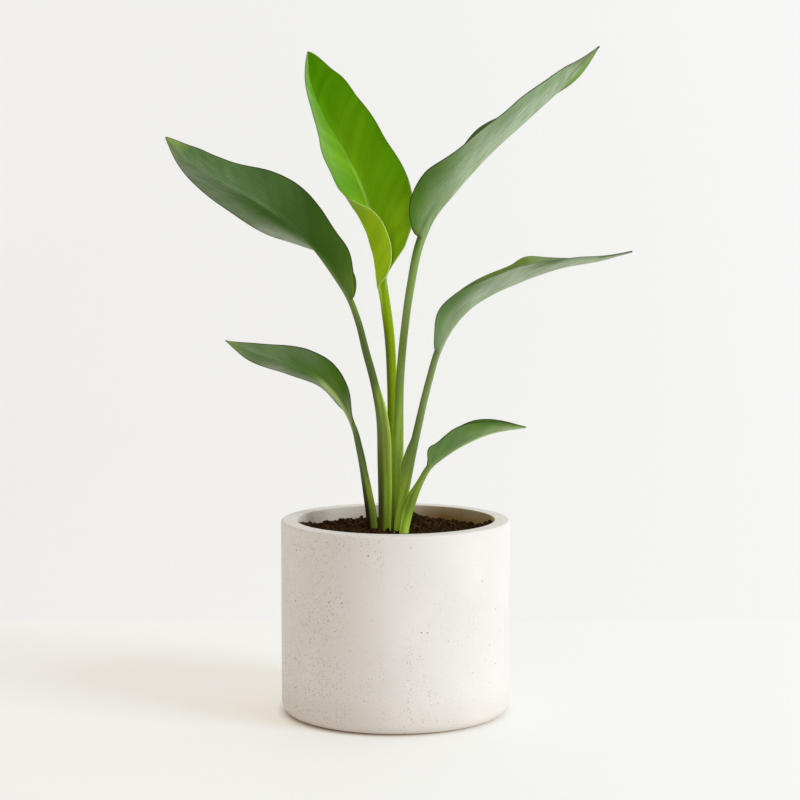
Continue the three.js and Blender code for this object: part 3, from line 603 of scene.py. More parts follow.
class NodeTree:
    """Short ways to add and join the nodes of a material or a group."""

    def __init__(self, tree):
        self.tree = tree

    def add(self, kind, inputs=None, **settings):
        """A new node, with its settings and its inputs set or linked."""
        node = self.tree.nodes.new(kind)
        for name, value in settings.items():
            setattr(node, name, value)
        for name, value in (inputs or {}).items():
            self.put(node.inputs[name], value)
        return node

    def put(self, socket, value):
        """Links a socket to another node's output, or sets its own value."""
        if isinstance(value, bpy.types.NodeSocket):
            self.tree.links.new(value, socket)
        elif socket.type == "RGBA" and len(value) == 3:
            socket.default_value = (*value, 1)
        else:
            socket.default_value = value

    def place(self):
        """Where on the object a point lies, in metres."""
        return self.add("ShaderNodeTexCoord").outputs["Object"]

    def split(self, vector):
        """A vector's x, y and z."""
        return self.add("ShaderNodeSeparateXYZ", {"Vector": vector}).outputs

    def vector(self, x, y, z=0.0):
        """A vector of three numbers."""
        return self.add("ShaderNodeCombineXYZ", {"X": x, "Y": y, "Z": z}).outputs[0]

    def attribute(self, name):
        """A value that the mesh carries at its points."""
        return self.add("ShaderNodeAttribute", attribute_name=name).outputs["Fac"]

    def math(self, operation, *values):
        """The result of a Math node."""
        node = self.add("ShaderNodeMath", operation=operation)
        for socket, value in zip(node.inputs, values):
            self.put(socket, value)
        return node.outputs[0]

    def times(self, first, *others):
        """Numbers multiplied together."""
        for other in others:
            first = self.math("MULTIPLY", first, other)
        return first

    def reach(self, x, y):
        """Distance from the upright axis."""
        return self.math("SQRT", self.math("ADD", self.times(x, x), self.times(y, y)))

    def mix(self, share, first, second, blend="MIX"):
        """Two colours mixed."""
        node = self.add("ShaderNodeMix", data_type="RGBA", blend_type=blend)
        for socket, value in zip((node.inputs[0], *node.inputs[6:8]), (share, first, second)):
            self.put(socket, value)
        return node.outputs[2]

    def mixed_number(self, share, first, second):
        """Two numbers mixed."""
        node = self.add("ShaderNodeMix", data_type="FLOAT")
        for socket, value in zip((node.inputs[0], *node.inputs[2:4]), (share, first, second)):
            self.put(socket, value)
        return node.outputs[0]

    def tint(self, colour, factor):
        """A colour made lighter or darker by a factor."""
        return self.mix(1.0, colour, self.vector(factor, factor, factor), "MULTIPLY")

    def spread(self, value, low, high, to_low=0.0, to_high=1.0):
        """A value moved smoothly from one range to another, and held at its ends."""
        node = self.add("ShaderNodeMapRange", interpolation_type="SMOOTHSTEP")
        for socket, number in zip(node.inputs[:5], (value, low, high, to_low, to_high)):
            self.put(socket, number)
        return node.outputs[0]

    def noise(self, vector, scale, detail=2.0, roughness=0.5):
        """Cloudy noise from 0 to 1."""
        inputs = {"Vector": vector, "Scale": scale, "Detail": detail, "Roughness": roughness}
        return self.add("ShaderNodeTexNoise", inputs).outputs["Fac"]

    def bump(self, height, strength, distance, normal=None):
        """A normal bent by a height, on top of another bend if one is given."""
        inputs = {"Height": height, "Strength": strength, "Distance": distance}
        if normal is not None:
            inputs["Normal"] = normal
        return self.add("ShaderNodeBump", inputs).outputs[0]

    def mottling(self, clouds, grain, amount):
        """The tone and the grain of the shared mottling, at scales of its own."""
        inputs = {"Vector": self.place(), "Cloud Scale": clouds, "Grain Scale": grain, "Amount": amount}
        group = shared_group("Mottling", mottling_group)
        outputs = self.add("ShaderNodeGroup", inputs, node_tree=group).outputs
        return outputs["Tone"], outputs["Grain"]


class Surface(NodeTree):
    """The nodes of a material, with its shader."""

    def __init__(self, name, roughness, specular=0.5):
        self.material = bpy.data.materials.new(name)
        self.material.use_nodes = True
        super().__init__(self.material.node_tree)
        self.shader = self.tree.nodes["Principled BSDF"]
        self.shader.inputs["Roughness"].default_value = roughness
        self.shader.inputs["Specular IOR Level"].default_value = specular

    def finish(self, **inputs):
        """The material, with more of its shader's inputs linked. A name's _ stands for a space."""
        for name, value in inputs.items():
            self.put(self.shader.inputs[name.replace("_", " ")], value)
        return self.material


def shared_group(name, build):
    """A shader group by name, built the first time that it is asked for."""
    return bpy.data.node_groups.get(name) or build(name)


def new_group(name, inputs, outputs):
    """A shader group, its tree, its inputs' and its outputs' sockets. An input of None is a vector."""
    group = bpy.data.node_groups.new(name, "ShaderNodeTree")
    for title, default in inputs.items():
        kind = "NodeSocketVector" if default is None else "NodeSocketFloat"
        socket = group.interface.new_socket(title, in_out="INPUT", socket_type=kind)
        if default is not None:
            socket.default_value = default
    for title in outputs:
        group.interface.new_socket(title, in_out="OUTPUT", socket_type="NodeSocketFloat")
    tree = NodeTree(group)
    return group, tree, tree.add("NodeGroupInput").outputs, tree.add("NodeGroupOutput").inputs


def mottling_group(name):
    """Cloudy changes of tone over a surface, as a factor round 1 to multiply a colour by."""
    inputs = {"Vector": None, "Cloud Scale": 20.0, "Grain Scale": 600.0, "Amount": 0.1}
    group, tree, given, made = new_group(name, inputs, ("Tone", "Grain"))
    clouds = tree.noise(given["Vector"], given["Cloud Scale"], 3)
    grain = tree.noise(given["Vector"], given["Grain Scale"], 2)
    both = tree.math("ADD", tree.times(clouds, 1.4), tree.times(grain, 0.6))
    swing = tree.times(tree.math("SUBTRACT", both, 1.0), given["Amount"])
    tree.put(made["Tone"], tree.math("ADD", swing, 1.0))
    tree.put(made["Grain"], grain)
    return group


def side_vein_group(name):
    """Side veins that slant from the midrib, with broad bands, relief and streaks along the leaf."""
    inputs = {"Fan": 0.0, "Run": 0.0, "Out": 0.0, "Spacing": 3.0}
    group, tree, given, made = new_group(name, inputs, ("Lines", "Bands", "Streaks", "Relief"))
    fan, run, out, spacing = (given[title] for title in inputs)
    drift = tree.noise(tree.vector(fan, run), 0.04, 1)
    turn = tree.math("DIVIDE", tree.math("ADD", fan, tree.times(drift, 10.0)), spacing)
    wave = tree.math("PINGPONG", turn, 0.5)
    tree.put(made["Lines"], tree.spread(wave, 0.0, 0.12, 1.0, 0.0))
    tree.put(made["Relief"], tree.spread(wave, 0.0, 0.5))
    slow = tree.times(run, 0.035)
    tree.put(made["Bands"], tree.noise(tree.vector(turn, slow), 0.22, 1))
    slanting = tree.math("SUBTRACT", out, tree.times(run, 0.07))
    tree.put(made["Streaks"], tree.noise(tree.vector(slanting, slow), 1.3, 3, 0.65))
    return group


# Pot


def stone_material(settings):
    """Pale cast stone with clouds, grain and pinholes, stained by the soil inside and at the foot, with
    painted shade in the pinholes, under the foot and inside on the right.
    """
    tree = Surface("cast_stone", roughness=0.82, specular=0.3)
    place = tree.place()
    x, y, z = tree.split(place)
    side = tree.math("DIVIDE", x, settings.radius)
    tone, grain = tree.mottling(clouds=18.0, grain=900.0, amount=0.12)

    # The pinholes crowd in clouds, and more on the left and near the foot than elsewhere
    clouds = tree.math("SUBTRACT", tree.noise(place, 26.0, 2), tree.times(side, 0.19))
    clouds = tree.math("ADD", clouds, tree.spread(z, 0.0, 70 * MM, 0.1, 0.0))
    pore = 0.0
    for cells, largest, least, darkness in PINHOLES:
        cell = tree.add("ShaderNodeTexVoronoi", {"Vector": place, "Scale": cells})
        size = tree.times(
            tree.spread(cell.outputs["Color"], 0.2, 0.8, 0.0, largest), tree.spread(clouds, 0.34, 0.76, least)
        )
        edge = tree.math("DIVIDE", cell.outputs["Distance"], tree.math("ADD", size, 0.0001))
        pore = tree.math("MAXIMUM", pore, tree.spread(edge, 0.75, 1.0, darkness, 0.0))

    # Inside, the soil's stain is stronger further down, and painted shade makes it stronger on the right,
    # where the inner wall is turned from the soft light. The stain is thin at the foot
    inner = settings.radius - settings.wall
    inside = tree.times(
        tree.spread(tree.reach(x, y), inner + 0.2 * MM, inner + 1.2 * MM, 0.8, 0.0),
        tree.spread(z, settings.height - 12 * MM, settings.height, 1.0, 0.7),
        tree.spread(tree.noise(place, 30.0, 3), 0.3, 0.7, 0.75, 1.15),
        tree.spread(side, -0.7, 0.9, 0.32, 1.6),
    )
    foot = tree.spread(z, 0.0, 34 * MM, 0.12, 0.0)
    stone = tree.mix(tree.math("MAXIMUM", inside, foot), tree.tint(settings.stone, tone), settings.soil_stain_and_shade)

    # Painted shade darkens the pinholes, and the crevice where the foot curves in, less so on the right,
    # towards the soft light
    crevice_shade = tree.times(
        tree.spread(z, 1.4 * MM, 1.9 * MM, 1.0, 0.0), tree.spread(side, 0.1, 0.9, 1.0, 0.5)
    )
    dark = tree.math("MAXIMUM", tree.times(pore, 0.95), crevice_shade)
    rough = tree.bump(grain, 0.25, 0.15 * MM)
    dented = tree.bump(tree.math("SUBTRACT", 1.0, pore), 0.8, 0.4 * MM, rough)
    return tree.finish(Base_Color=tree.mix(dark, stone, settings.pore), Normal=dented)


def arc(centre, radius, start, steps):
    """Points of a quarter turn about a centre, from an angle in degrees."""
    angles = np.radians(np.linspace(start, start + 90, steps + 1))
    return [(centre[0] + radius * math.cos(angle), centre[1] + radius * math.sin(angle)) for angle in angles]


def straight(start, end, steps):
    """Points between two ends, without the ends."""
    return [tuple(np.array(start) + (np.array(end) - start) * step / steps) for step in range(1, steps)]


def pot_profile(settings):
    """Radius and height of the pot's outline, from the middle of its foot to that of its floor."""
    outer = settings.radius
    inner = outer - settings.wall
    foot = settings.foot_radius
    rim = settings.rim_radius
    lip = settings.lip_radius
    top = settings.height - rim
    lip_top = settings.height - lip
    middle = 0.05 * MM
    return [
        (middle, 0),
        *straight((middle, 0), (outer - foot, 0), 8),
        *arc((outer - foot, foot), foot, -90, 14),
        *straight((outer, foot), (outer, top), 44),
        *arc((outer - rim, top), rim, 0, 7),
        *straight((outer - rim, settings.height), (inner + lip, settings.height), 5),
        *arc((inner + lip, lip_top), lip, 90, 7),
        *straight((inner, lip_top), (inner, settings.floor), 24),
        (inner, settings.floor),
        *straight((inner, settings.floor), (middle, settings.floor), 6),
        (middle, settings.floor),
    ]


def build_pot(settings):
    """The pot as one turned body with a rounded foot, a flat rim and a slightly uneven cast face."""
    profile = pot_profile(settings)
    points = []
    for radius, height in profile:
        # The foot rests flat, and the inside stays true
        share = min(1, height / settings.foot_radius) if radius > settings.radius - settings.wall else 0
        for x, y in directions(POT_SECTORS):
            place = Vector((x, y, height / settings.radius)) * 2.2
            reach = radius - noise.fractal(place, 0.8, 2.1, 3) * settings.unevenness * share
            points.append((reach * x, reach * y, height))
    faces = tube_faces(len(profile), POT_SECTORS)
    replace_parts(make_piece("stone_pot", points, faces, stone_material(settings)), "pot")


# Soil


def soil_material(settings):
    """Dark damp potting soil, with a painted highlight on the tops of its crumbs."""
    tree = Surface("potting_soil", roughness=0.9, specular=0.06)
    tone, grain = tree.mottling(clouds=160.0, grain=1500.0, amount=0.8)
    # The tops of the lumps take a painted highlight, in patches
    top = tree.spread(tree.attribute("crest"), 0.25, 1.0)
    patch = tree.spread(tree.noise(tree.place(), 260.0, 3), 0.4, 0.7)
    share = tree.times(top, tree.math("ADD", tree.times(patch, 0.7), 0.3))
    base = tree.mix(share, settings.dark, settings.light)
    return tree.finish(Base_Color=tree.tint(base, tone), Normal=tree.bump(grain, 0.6, 0.3 * MM))


def rough_material(name, paint, roughness, depth, **scales):
    """A mottled, rough surface, for the perlite and the rootstock."""
    tree = Surface(name, roughness)
    tone, grain = tree.mottling(**scales)
    return tree.finish(Base_Color=tree.tint(paint, tone), Normal=tree.bump(grain, 0.5, depth))


def soil_level(settings, x, y):
    """Height of the soil before its lumps."""
    level = POT_HIGH.z - settings.below_rim
    for centre_x, centre_y, reach, height in SWELLS:
        away = math.hypot(x / MM - centre_x, y / MM - centre_y) / reach
        level += height * MM * math.exp(-away * away)
    return level


def lump_height(x, y, size):
    """Rounded lumps of one size packed side by side, from 0 between them to 1 on top."""
    distances, _ = noise.voronoi(Vector((x / size, y / size, size * 900)))
    return max(0, 1 - (1.35 * distances[0]) ** 2)


def soil_surface(settings, x, y):
    """Height of the lumpy soil, and how high on its lump a point lies."""
    broad = noise.noise(Vector((x / settings.lump / 2, y / settings.lump / 2, 3)))
    lumps = 1.2 * broad - 1.1
    crest = 0
    for share, height, in_crest in LUMPS:
        lump = lump_height(x, y, settings.lump * share)
        lumps += height * lump
        crest += in_crest * lump
    return soil_level(settings, x, y) + lumps * MM, crest


def clear_of_stalks(x, y, gap):
    """Whether a place on the soil is at least a gap away from every stalk."""
    for leaf in LEAVES.values():
        stalk_x, stalk_y, _ = leaf["petiole"][1]
        radius = leaf["rib"][0][1]
        if math.hypot(x - stalk_x * MM, y - stalk_y * MM) < radius * MM + gap:
            return False
    return True


def build_soil(settings):
    """The soil's lumpy top with its side and bottom, one closed body."""
    points = []
    crest = []
    for ring in range(SOIL_RINGS):
        radius = SOIL_RADIUS * (ring + 0.05) / (SOIL_RINGS - 0.95)
        for along_x, along_y in directions(SOIL_SECTORS):
            x = radius * along_x
            y = radius * along_y
            height, top = soil_surface(settings, x, y)
            points.append((x, y, height))
            crest.append(top)
    for radius in (SOIL_RADIUS, 0.1 * MM):
        points += [(radius * x, radius * y, SOIL_LOW.z) for x, y in directions(SOIL_SECTORS)]
        crest += [0] * SOIL_SECTORS
    faces = tube_faces(SOIL_RINGS + 2, SOIL_SECTORS)
    piece = make_piece("soil_bed", points, faces, soil_material(settings), {"crest": crest})
    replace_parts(piece, "soil")


def build_crumbs(settings):
    """Loose crumbs strewn on the soil, the larger ones with more detail, clear of the stalks."""
    place_seed, shape_seed = CRUMB_SEEDS
    random = np.random.default_rng(place_seed)
    material = bpy.data.materials["potting_soil"]
    for name, fewer, (smallest, largest), detail in LOOSE_SOIL:
        places = []
        sizes = []
        while len(places) < settings.crumbs // fewer:
            size = (smallest + (largest - smallest) * random.random() ** 2) * MM
            reach = (SOIL_RADIUS - 1.2 * size) * math.sqrt(random.random())
            angle = 2 * math.pi * random.random()
            x = reach * math.cos(angle)
            y = reach * math.sin(angle)
            if not clear_of_stalks(x, y, 1.3 * size):
                continue
            height, _ = soil_surface(settings, x, y)
            places.append((x, y, height + 0.3 * size))
            sizes.append(size)
        points, faces = random_lumps(np.array(places), sizes, shape_seed, detail)
        # How much painted highlight each point of a crumb takes
        crest = 0.6 + 0.4 * np.sin(points[:, 0] * 3000) * np.sin(points[:, 1] * 3000)
        make_piece(name, points, faces, material, {"crest": crest})


def build_perlite(settings):
    """A few pale grains in front of the stalks, where they meet the soil."""
    place_seed, shape_seed = PERLITE_SEEDS
    random = np.random.default_rng(place_seed)
    places = []
    while len(places) < settings.perlite:
        x, y = (random.uniform(*span) * MM for span in PERLITE_PATCH)
        if clear_of_stalks(x, y, 0.5 * MM):
            places.append((x, y, soil_surface(settings, x, y)[0] + 0.3 * MM))
    sizes = random.uniform(*PERLITE_SIZES, len(places)) * MM
    points, faces = random_lumps(np.array(places), sizes, shape_seed, 2)
    scales = {"clouds": 400.0, "grain": 2500.0, "amount": 0.7}
    material = rough_material("perlite", settings.pale, 0.9, 0.2 * MM, **scales)
    make_piece("perlite", points, faces, material)


def dress_rootstock(settings):
    """A fleshy, fibrous skin for the rootstock, which the soil hides."""
    scales = {"clouds": 90.0, "grain": 900.0, "amount": 0.5}
    skin = rough_material("rootstock_skin", settings.root, 0.85, 0.4 * MM, **scales)
    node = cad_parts["rootstock"]
    node.data.materials.clear()
    node.data.materials.append(skin)


# Leaves. Places along a leaf come as a column, so that each value is a grid of rows and columns


def measure_spine(leaf):
    """A leaf's spine as keys of distance, x, y and z, and the distances of its blade and its tip."""
    points = np.array(leaf["petiole"] + leaf["blade"], float)
    distance = np.concatenate([[0], np.cumsum(np.linalg.norm(np.diff(points, axis=0), axis=1))])
    return np.column_stack([distance, points]), distance[len(leaf["petiole"]) - 1], distance[-1]


def distance_along(leaf, place):
    """Distance from the seat, in millimetres, of places along a leaf."""
    _, blade_start, total = measure_spine(leaf)
    return np.minimum(place, 1) * blade_start + np.maximum(place - 1, 0) * (total - blade_start)


def spine_point(leaf, place):
    """Points of the spine at places along a leaf."""
    keys, _, _ = measure_spine(leaf)
    distance = distance_along(leaf, place)
    return np.stack([value_at(keys, distance, column) for column in (1, 2, 3)], axis=-1)


def section_axes(leaf, place):
    """The side and front axes of the sections at places along a leaf."""
    reach = 0.001
    along = spine_point(leaf, np.minimum(place + reach, 2)) - spine_point(leaf, np.maximum(place - reach, 0))
    along /= np.linalg.norm(along, axis=-1, keepdims=True)
    side = np.cross(along, (0, -1, 0))
    side /= np.linalg.norm(side, axis=-1, keepdims=True)
    return side, np.cross(side, along)


def outline(leaf, place):
    """The blade's outline from 0 at its base to 1 at its tip, as a share of its half-width."""
    t = np.clip(place - 1, 0, 1)
    tip_power = leaf["fullness"] * (1 - leaf["widest"]) / leaf["widest"]
    return (t / leaf["widest"]) ** leaf["fullness"] * ((1 - t) / (1 - leaf["widest"])) ** tip_power


def half_section(leaf, place, hand, settings):
    """One half of every section from the midrib out. hand is 1 on the left and -1 on the right."""
    side = "left" if hand > 0 else "right"
    left = curve(leaf, "left", place)
    right = curve(leaf, "right", place)
    radius = curve(leaf, "rib", place)
    share = outline(leaf, place) * curve(leaf, f"{side}_width", place)
    if hand < 0 and "late_right" in leaf:
        share = share * smooth(place - 1, 0, leaf["late_right"])
    wing = np.maximum(curve(leaf, "sheath", place), 0)
    width = CHANNEL * radius + leaf["half_width"] * share + wing
    keel = KEEL_SPREAD * radius
    inner = np.minimum(KEEL_SKIRT * radius, INNER_STOPS[1] * width)
    over_keel = inner * np.linspace(0, 1, KEEL_COLUMNS + 1)[1:]
    panels = 1 - (1 - np.linspace(0, 1, BLADE_COLUMNS + 1)[1:]) ** CROWDING
    stop = np.concatenate([over_keel, inner + (width - inner) * panels], axis=1)
    u = stop / width

    # The half's direction turns with its curl, and is rounded off into the trough at the midrib
    direction = left if hand > 0 else right
    curl = curve(leaf, "curl", place) if hand > 0 else 0
    curl_at = curve(leaf, "curl_at", place)
    rib_up = (left + right) / 2
    on_blade = smooth(place, *BLADE_STARTS)
    rounding = TROUGH_SOFTNESS * on_blade * (rib_up + hand * 90 - direction)

    def angle_at(share_out):
        folded = curl * smooth(share_out, curl_at - FOLD_SPAN, curl_at + FOLD_SPAN)
        return np.radians(direction - hand * folded + rounding * (1 - smooth(share_out, 0, TROUGH_REACH)))

    step = np.diff(stop, axis=1, prepend=0)
    middle = angle_at((stop - step / 2) / width)
    rib_up = np.radians(rib_up)
    shoulder = np.minimum(KEEL_SHOULDER * keel, INNER_STOPS[0] * width)
    up = rib_up + (angle_at(u) - hand * math.pi / 2 - rib_up) * smooth(stop / shoulder, 0, 1)

    # Waves lift the margin, and soft pleats run with the side veins
    size, count, phase = leaf["wave"]
    phase += 0 if hand > 0 else WAVE_SHIFT
    wave = size * share * np.sin(2 * math.pi * (count * place + phase))
    fan = distance_along(leaf, place) - FAN * stop**FAN_POWER
    pleat = np.sin(2 * math.pi * fan / (settings.pleat_pitch / MM))
    fade = smooth(u, 0.05, 0.3) * smooth(u, 1, 0.6) * np.minimum(share * 2, 1)
    lift = wave * u**2 + settings.pleat / MM * pleat * fade

    # The midrib stands out below, with a soft skirt on the blade. A tight fold leaves little room
    bulge = np.sqrt(np.maximum(0, 1 - (stop / keel) ** 2))
    skirt = 0.5 + 0.5 * np.cos(math.pi * np.minimum(1, stop / (KEEL_SKIRT * radius)))
    opening = np.radians(np.abs(left - right) / 2)
    half = {
        "x": np.cumsum(step * np.cos(middle), axis=1) + lift * np.cos(up),
        "y": np.cumsum(step * np.sin(middle), axis=1) + lift * np.sin(up),
        "up": up, "direction": angle_at(u), "u": u, "fan": fan, "out": stop, "edge": width - stop,
        "depth": radius * (bulge + (skirt - bulge) * on_blade),
        "room": np.where(opening < math.pi / 2, FOLD_ROOM * stop * np.tan(opening), math.inf),
        "rib": 1 - smooth(stop / keel, 0.2, 1.1),
    }
    # Wax bloom with painted sheen, and a lighter green with painted highlights and glow, from their four
    # columns
    at_margin, at_rib = (1, 2) if hand > 0 else (4, 3)
    for mask, slant, share_out in (("bloom_and_sheen", BLOOM_AND_SHEEN_SLANT, smooth(u, 0.1, 0.8)), ("light", 0, u**2)):
        along = place - slant * u * on_blade
        from_rib = curve(leaf, mask, along, at_rib)
        half[mask] = from_rib + (curve(leaf, mask, along, at_margin) - from_rib) * share_out
    return half


def leaf_grid(leaf, place, settings):
    """Closed sections from the left margin over the upper face to the right one and back below."""
    left = half_section(leaf, place, 1, settings)
    right = half_section(leaf, place, -1, settings)
    nothing = np.zeros_like(place)
    rib_up = np.radians((curve(leaf, "left", place) + curve(leaf, "right", place)) / 2)
    rib = {
        **dict.fromkeys(("x", "y", "out", "u"), nothing),
        "up": rib_up, "direction": rib_up, "depth": curve(leaf, "rib", place), "room": nothing + math.inf,
        "fan": distance_along(leaf, place), "edge": left["edge"][:, :1] + 1, "rib": nothing + 1,
        **{mask: (left[mask][:, :1] + right[mask][:, :1]) / 2 for mask in ("bloom_and_sheen", "light")},
    }
    across = {name: np.concatenate([left[name][:, ::-1], rib[name], right[name]], axis=1) for name in rib}

    # The blade thins towards its margins
    half = settings.thickness / MM / 2 * (1 - THINNING * across["u"] ** 4 * smooth(place, 1, 1.1))

    def face(offset):
        """The leaf's upper or lower face, at an offset from its middle."""
        return across["x"] + offset * np.cos(across["up"]), across["y"] + offset * np.sin(across["up"])

    upper = face(np.minimum(half, across["room"]))
    lower = face(-half - across["depth"])

    def brim(column):
        """The rounded edge between the two faces at one margin, as x and y."""
        reach = BRIM * (2 * half[:, column] + across["depth"][:, column])
        angle = across["direction"][:, column]
        middle = [(over[:, column] + under[:, column]) / 2 for over, under in zip(upper, lower)]
        return [(middle[0] + reach * np.cos(angle))[:, None], (middle[1] + reach * np.sin(angle))[:, None]]

    x, y = (
        np.concatenate([over, right_edge, under[:, ::-1], left_edge], axis=1)
        for over, right_edge, under, left_edge in zip(upper, brim(-1), lower, brim(0))
    )
    side, front = section_axes(leaf, place)
    points = spine_point(leaf, place) + side * x[..., None] + front * y[..., None]

    def around(values):
        """Values across the leaf carried round the closed section."""
        return np.concatenate([values, values[:, -1:], values[:, ::-1], values[:, :1]], axis=1)

    attributes = {name: around(across[name]) for name in ("fan", "out", "edge", "bloom_and_sheen", "light", "rib", "u")}
    level = np.ones_like(x)
    attributes["run"] = level * distance_along(leaf, place)
    attributes["place"] = level * place
    attributes["midrib"] = attributes["rib"] * curve(leaf, "midrib", place)
    columns = across["x"].shape[1]
    below = np.concatenate([np.zeros(columns), [0.5], np.ones(columns), [0.5]])
    # The brown purple on the stalk's back, made darker as painted shade, on its lower face near the keel
    back = below * (1 - smooth(attributes["u"], 0.25, 0.7))
    attributes["stain_and_shade"] = back * curve(leaf, "stain_and_shade", place)
    return points * MM, attributes


def leaf_material(name, leaf, settings):
    """A leaf from its stalk to its tip: green, a waxen coat with painted sheen, painted highlights and glow,
    side veins, a pale midrib, a brown back with painted shade, and a dark margin.
    """
    young = name == YOUNG
    tree = Surface(f"leaf_{name}", roughness=0.38, specular=0.02 if young else 0.045)
    light = settings.young_light if young else settings.light
    tone, grain = tree.mottling(clouds=35.0, grain=700.0, amount=0.16)
    inputs = {title: tree.attribute(title.lower()) for title in ("Fan", "Run", "Out")}
    inputs["Spacing"] = settings.vein_spacing / MM
    group = shared_group("Side Veins", side_vein_group)
    veins = tree.add("ShaderNodeGroup", inputs, node_tree=group).outputs
    place = tree.attribute("place")
    on_blade = tree.spread(place, 0.95, 1.06)

    base = tree.mix(on_blade, leaf["stalk"], leaf["green"])
    # The lighter green is partly the leaf's own yellow green and partly painted highlights on the stalk's
    # wings and feet and a painted glow through the newest leaf
    base = tree.mix(tree.attribute("light"), base, light)
    # The wax bloom and painted sheen, in streaks on the blade
    streaks = tree.spread(veins["Streaks"], 0.38, 0.64, 0.74, 1.26)
    waxy_sheen = tree.times(tree.attribute("bloom_and_sheen"), tree.mixed_number(on_blade, 1.0, streaks))
    base = tree.mix(waxy_sheen, base, leaf["wax_and_sheen"])
    # The pale midrib is partly its own colour and partly a painted highlight
    base = tree.mix(tree.attribute("midrib"), base, tree.mix(0.5, light, leaf["wax_and_sheen"]))
    base = tree.mix(tree.times(veins["Lines"], on_blade, 0.03), base, leaf["wax_and_sheen"])
    swing = 0.08 if young else 0.04
    bands = tree.spread(veins["Bands"], 0.3, 0.7, 1 - swing, 1 + swing)
    base = tree.tint(base, tree.mixed_number(on_blade, 1.0, bands))
    # The brown on the stalk's back, darker as painted shade
    base = tree.mix(tree.attribute("stain_and_shade"), base, settings.stain_and_shade)
    base = tree.tint(base, tone)

    width = settings.margin_width / MM
    edge = tree.spread(tree.attribute("edge"), width * 0.5, width * 1.3, leaf["margin"], 0.0)
    # On the newest leaf's rolled part the margin takes a painted highlight
    rolled = tree.spread(place, *ROLLED_TO, 1.0, 0.0) if young else 0.0
    margin = tree.mix(rolled, settings.margin, settings.rim)
    base = tree.mix(tree.times(edge, on_blade), base, margin)
    rough = tree.bump(grain, 0.1, 0.1 * MM)
    relief = tree.times(veins["Relief"], on_blade)
    return tree.finish(Base_Color=base, Normal=tree.bump(relief, 0.3, 0.08 * MM, rough))


def build_leaves(settings):
    """Each leaf as one continuous body, from its seat on the rootstock to its tip."""
    for name, leaf in LEAVES.items():
        _, blade_start, total = measure_spine(leaf)
        stalk = np.linspace(0, 1, round(blade_start / STALK_ROW), endpoint=False)
        blade = np.linspace(1, 2, round((total - blade_start) / BLADE_ROW))
        points, attributes = leaf_grid(leaf, np.concatenate([stalk, blade])[:, None], settings)
        faces = tube_faces(*points.shape[:2])
        material = leaf_material(name, leaf, settings)
        piece = make_piece(f"leaf_{name}", points.reshape(-1, 3), faces, material, attributes)
        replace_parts(piece, f"petiole_{name}", f"blade_{name}")


# Studio


def backdrop_material(name, paint, glow, settings):
    """Pale paint, lit a little from behind. Its back can be seen through, so the wall hides no view."""
    tree = Surface(name, roughness=0.6, specular=0.25)

    # Round the pot's foot the floor glows less, most on the left, away from the soft light
    x, y, _ = tree.split(tree.place())
    near = tree.spread(tree.reach(x, y), 80 * MM, 96 * MM, 1.0, 0.0)
    shade = tree.times(near, tree.spread(x, -80 * MM, 40 * MM, 0.9, 0.1))

    both = tree.add("ShaderNodeMixShader")
    behind = tree.add("ShaderNodeNewGeometry").outputs["Backfacing"]
    clear = tree.add("ShaderNodeBsdfTransparent").outputs[0]
    for socket, value in zip(both.inputs, (behind, tree.shader.outputs[0], clear)):
        tree.put(socket, value)
    tree.put(tree.tree.nodes["Material Output"].inputs["Surface"], both.outputs[0])
    return tree.finish(
        Base_Color=tree.mix(shade, paint, settings.shade), Emission_Color=glow,
        Emission_Strength=tree.math("SUBTRACT", 1.0, shade),
    )


def stage_sheet(name, corners, paint, glow, settings):
    """A flat four-cornered sheet of the stage."""
    mesh = bpy.data.meshes.new(name)
    mesh.from_pydata(corners, [], [(0, 1, 2, 3)])
    mesh.materials.append(backdrop_material(name, paint, glow, settings))
    add_object(name, mesh)


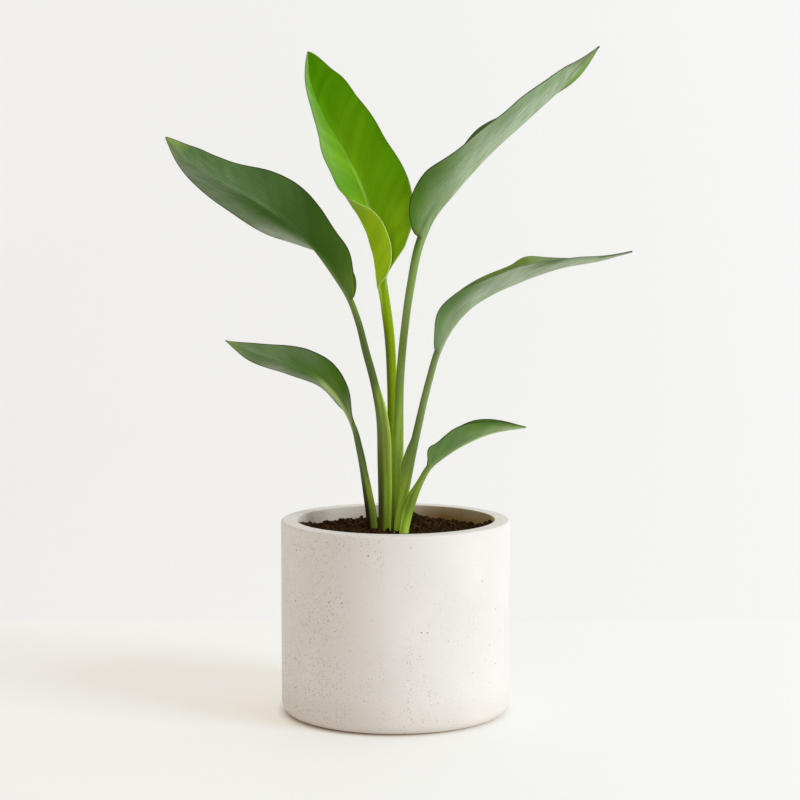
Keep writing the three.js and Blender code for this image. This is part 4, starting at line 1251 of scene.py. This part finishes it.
def build_studio(settings):
    """A pale floor and wall, a soft light from the right, light from all round, and the camera."""
    wide = 5.0
    back = settings.wall_distance
    floor = [(-wide, -wide, 0), (wide, -wide, 0), (wide, wide, 0), (-wide, wide, 0)]
    stage_sheet("floor", floor, settings.floor, settings.floor_glow, settings)
    wall = [(-wide, back, 0), (wide, back, 0), (wide, back, wide), (-wide, back, wide)]
    stage_sheet("wall", wall, settings.wall, settings.wall_glow, settings)

    light = bpy.data.lights.new("key_light", "AREA")
    light.size = settings.key_size
    light.energy = settings.key_power
    light.color = settings.key_colour
    lamp = add_object("key_light", light)
    lamp.location = settings.key_place
    lamp.rotation_euler = (-lamp.location).to_track_quat("-Z", "Y").to_euler()

    scene = bpy.context.scene
    scene.world = scene.world or bpy.data.worlds.new("studio")
    scene.world.use_nodes = True
    background = scene.world.node_tree.nodes["Background"]
    background.inputs["Color"].default_value = (*settings.fill_colour, 1)
    background.inputs["Strength"].default_value = settings.fill

    camera = bpy.data.cameras.new("camera")
    camera.sensor_width = 36
    camera.lens = settings.lens
    eye = add_object("camera", camera)
    eye.location = settings.camera
    eye.rotation_euler = (math.pi / 2 - settings.pitch, 0, 0)
    scene.camera = eye
    scene.view_settings.view_transform = "Standard"


# Operators and panel


class PLANT_OT_pot(Operator):
    """Build the cast-stone pot"""

    bl_idname = "plant.pot"
    bl_label = "Pot"

    def execute(self, context):
        build_pot(context.scene.potted_plant.pot)
        return {"FINISHED"}


class PLANT_OT_soil(Operator):
    """Build the soil with its loose crumbs and pale grains, and dress the rootstock in it"""

    bl_idname = "plant.soil"
    bl_label = "Soil"

    def execute(self, context):
        for build in (build_soil, build_crumbs, build_perlite, dress_rootstock):
            build(context.scene.potted_plant.soil)
        return {"FINISHED"}


class PLANT_OT_leaves(Operator):
    """Build the six leaves with their stalks"""

    bl_idname = "plant.leaves"
    bl_label = "Leaves"

    def execute(self, context):
        build_leaves(context.scene.potted_plant.leaves)
        return {"FINISHED"}


class PLANT_OT_studio(Operator):
    """Set up the floor, the wall, the lights and the camera"""

    bl_idname = "plant.studio"
    bl_label = "Studio"

    def execute(self, context):
        build_studio(context.scene.potted_plant.studio)
        return {"FINISHED"}


OPERATORS = (PLANT_OT_studio, PLANT_OT_pot, PLANT_OT_soil, PLANT_OT_leaves)


class PLANT_PT_panel(Panel):
    """The stage and the pieces, in the order they are built"""

    bl_idname = "PLANT_PT_panel"
    bl_label = "Potted Bird of Paradise"
    bl_space_type = "VIEW_3D"
    bl_region_type = "UI"
    bl_category = "Plant"

    def draw(self, context):
        for operator in OPERATORS:
            self.layout.operator(operator.bl_idname)


SETTINGS = (PotSettings, SoilSettings, LeafSettings, StudioSettings, PlantSettings)
CLASSES = (*SETTINGS, *OPERATORS, PLANT_PT_panel)


def register():
    for each in CLASSES:
        bpy.utils.register_class(each)
    bpy.types.Scene.potted_plant = PointerProperty(type=PlantSettings)


def unregister():
    del bpy.types.Scene.potted_plant
    for each in reversed(CLASSES):
        bpy.utils.unregister_class(each)


def main():
    """Builds every piece in order."""
    register()
    bpy.ops.plant.studio()
    bpy.ops.plant.pot()
    bpy.ops.plant.soil()
    bpy.ops.plant.leaves()


if __name__ == "__main__":
    main()
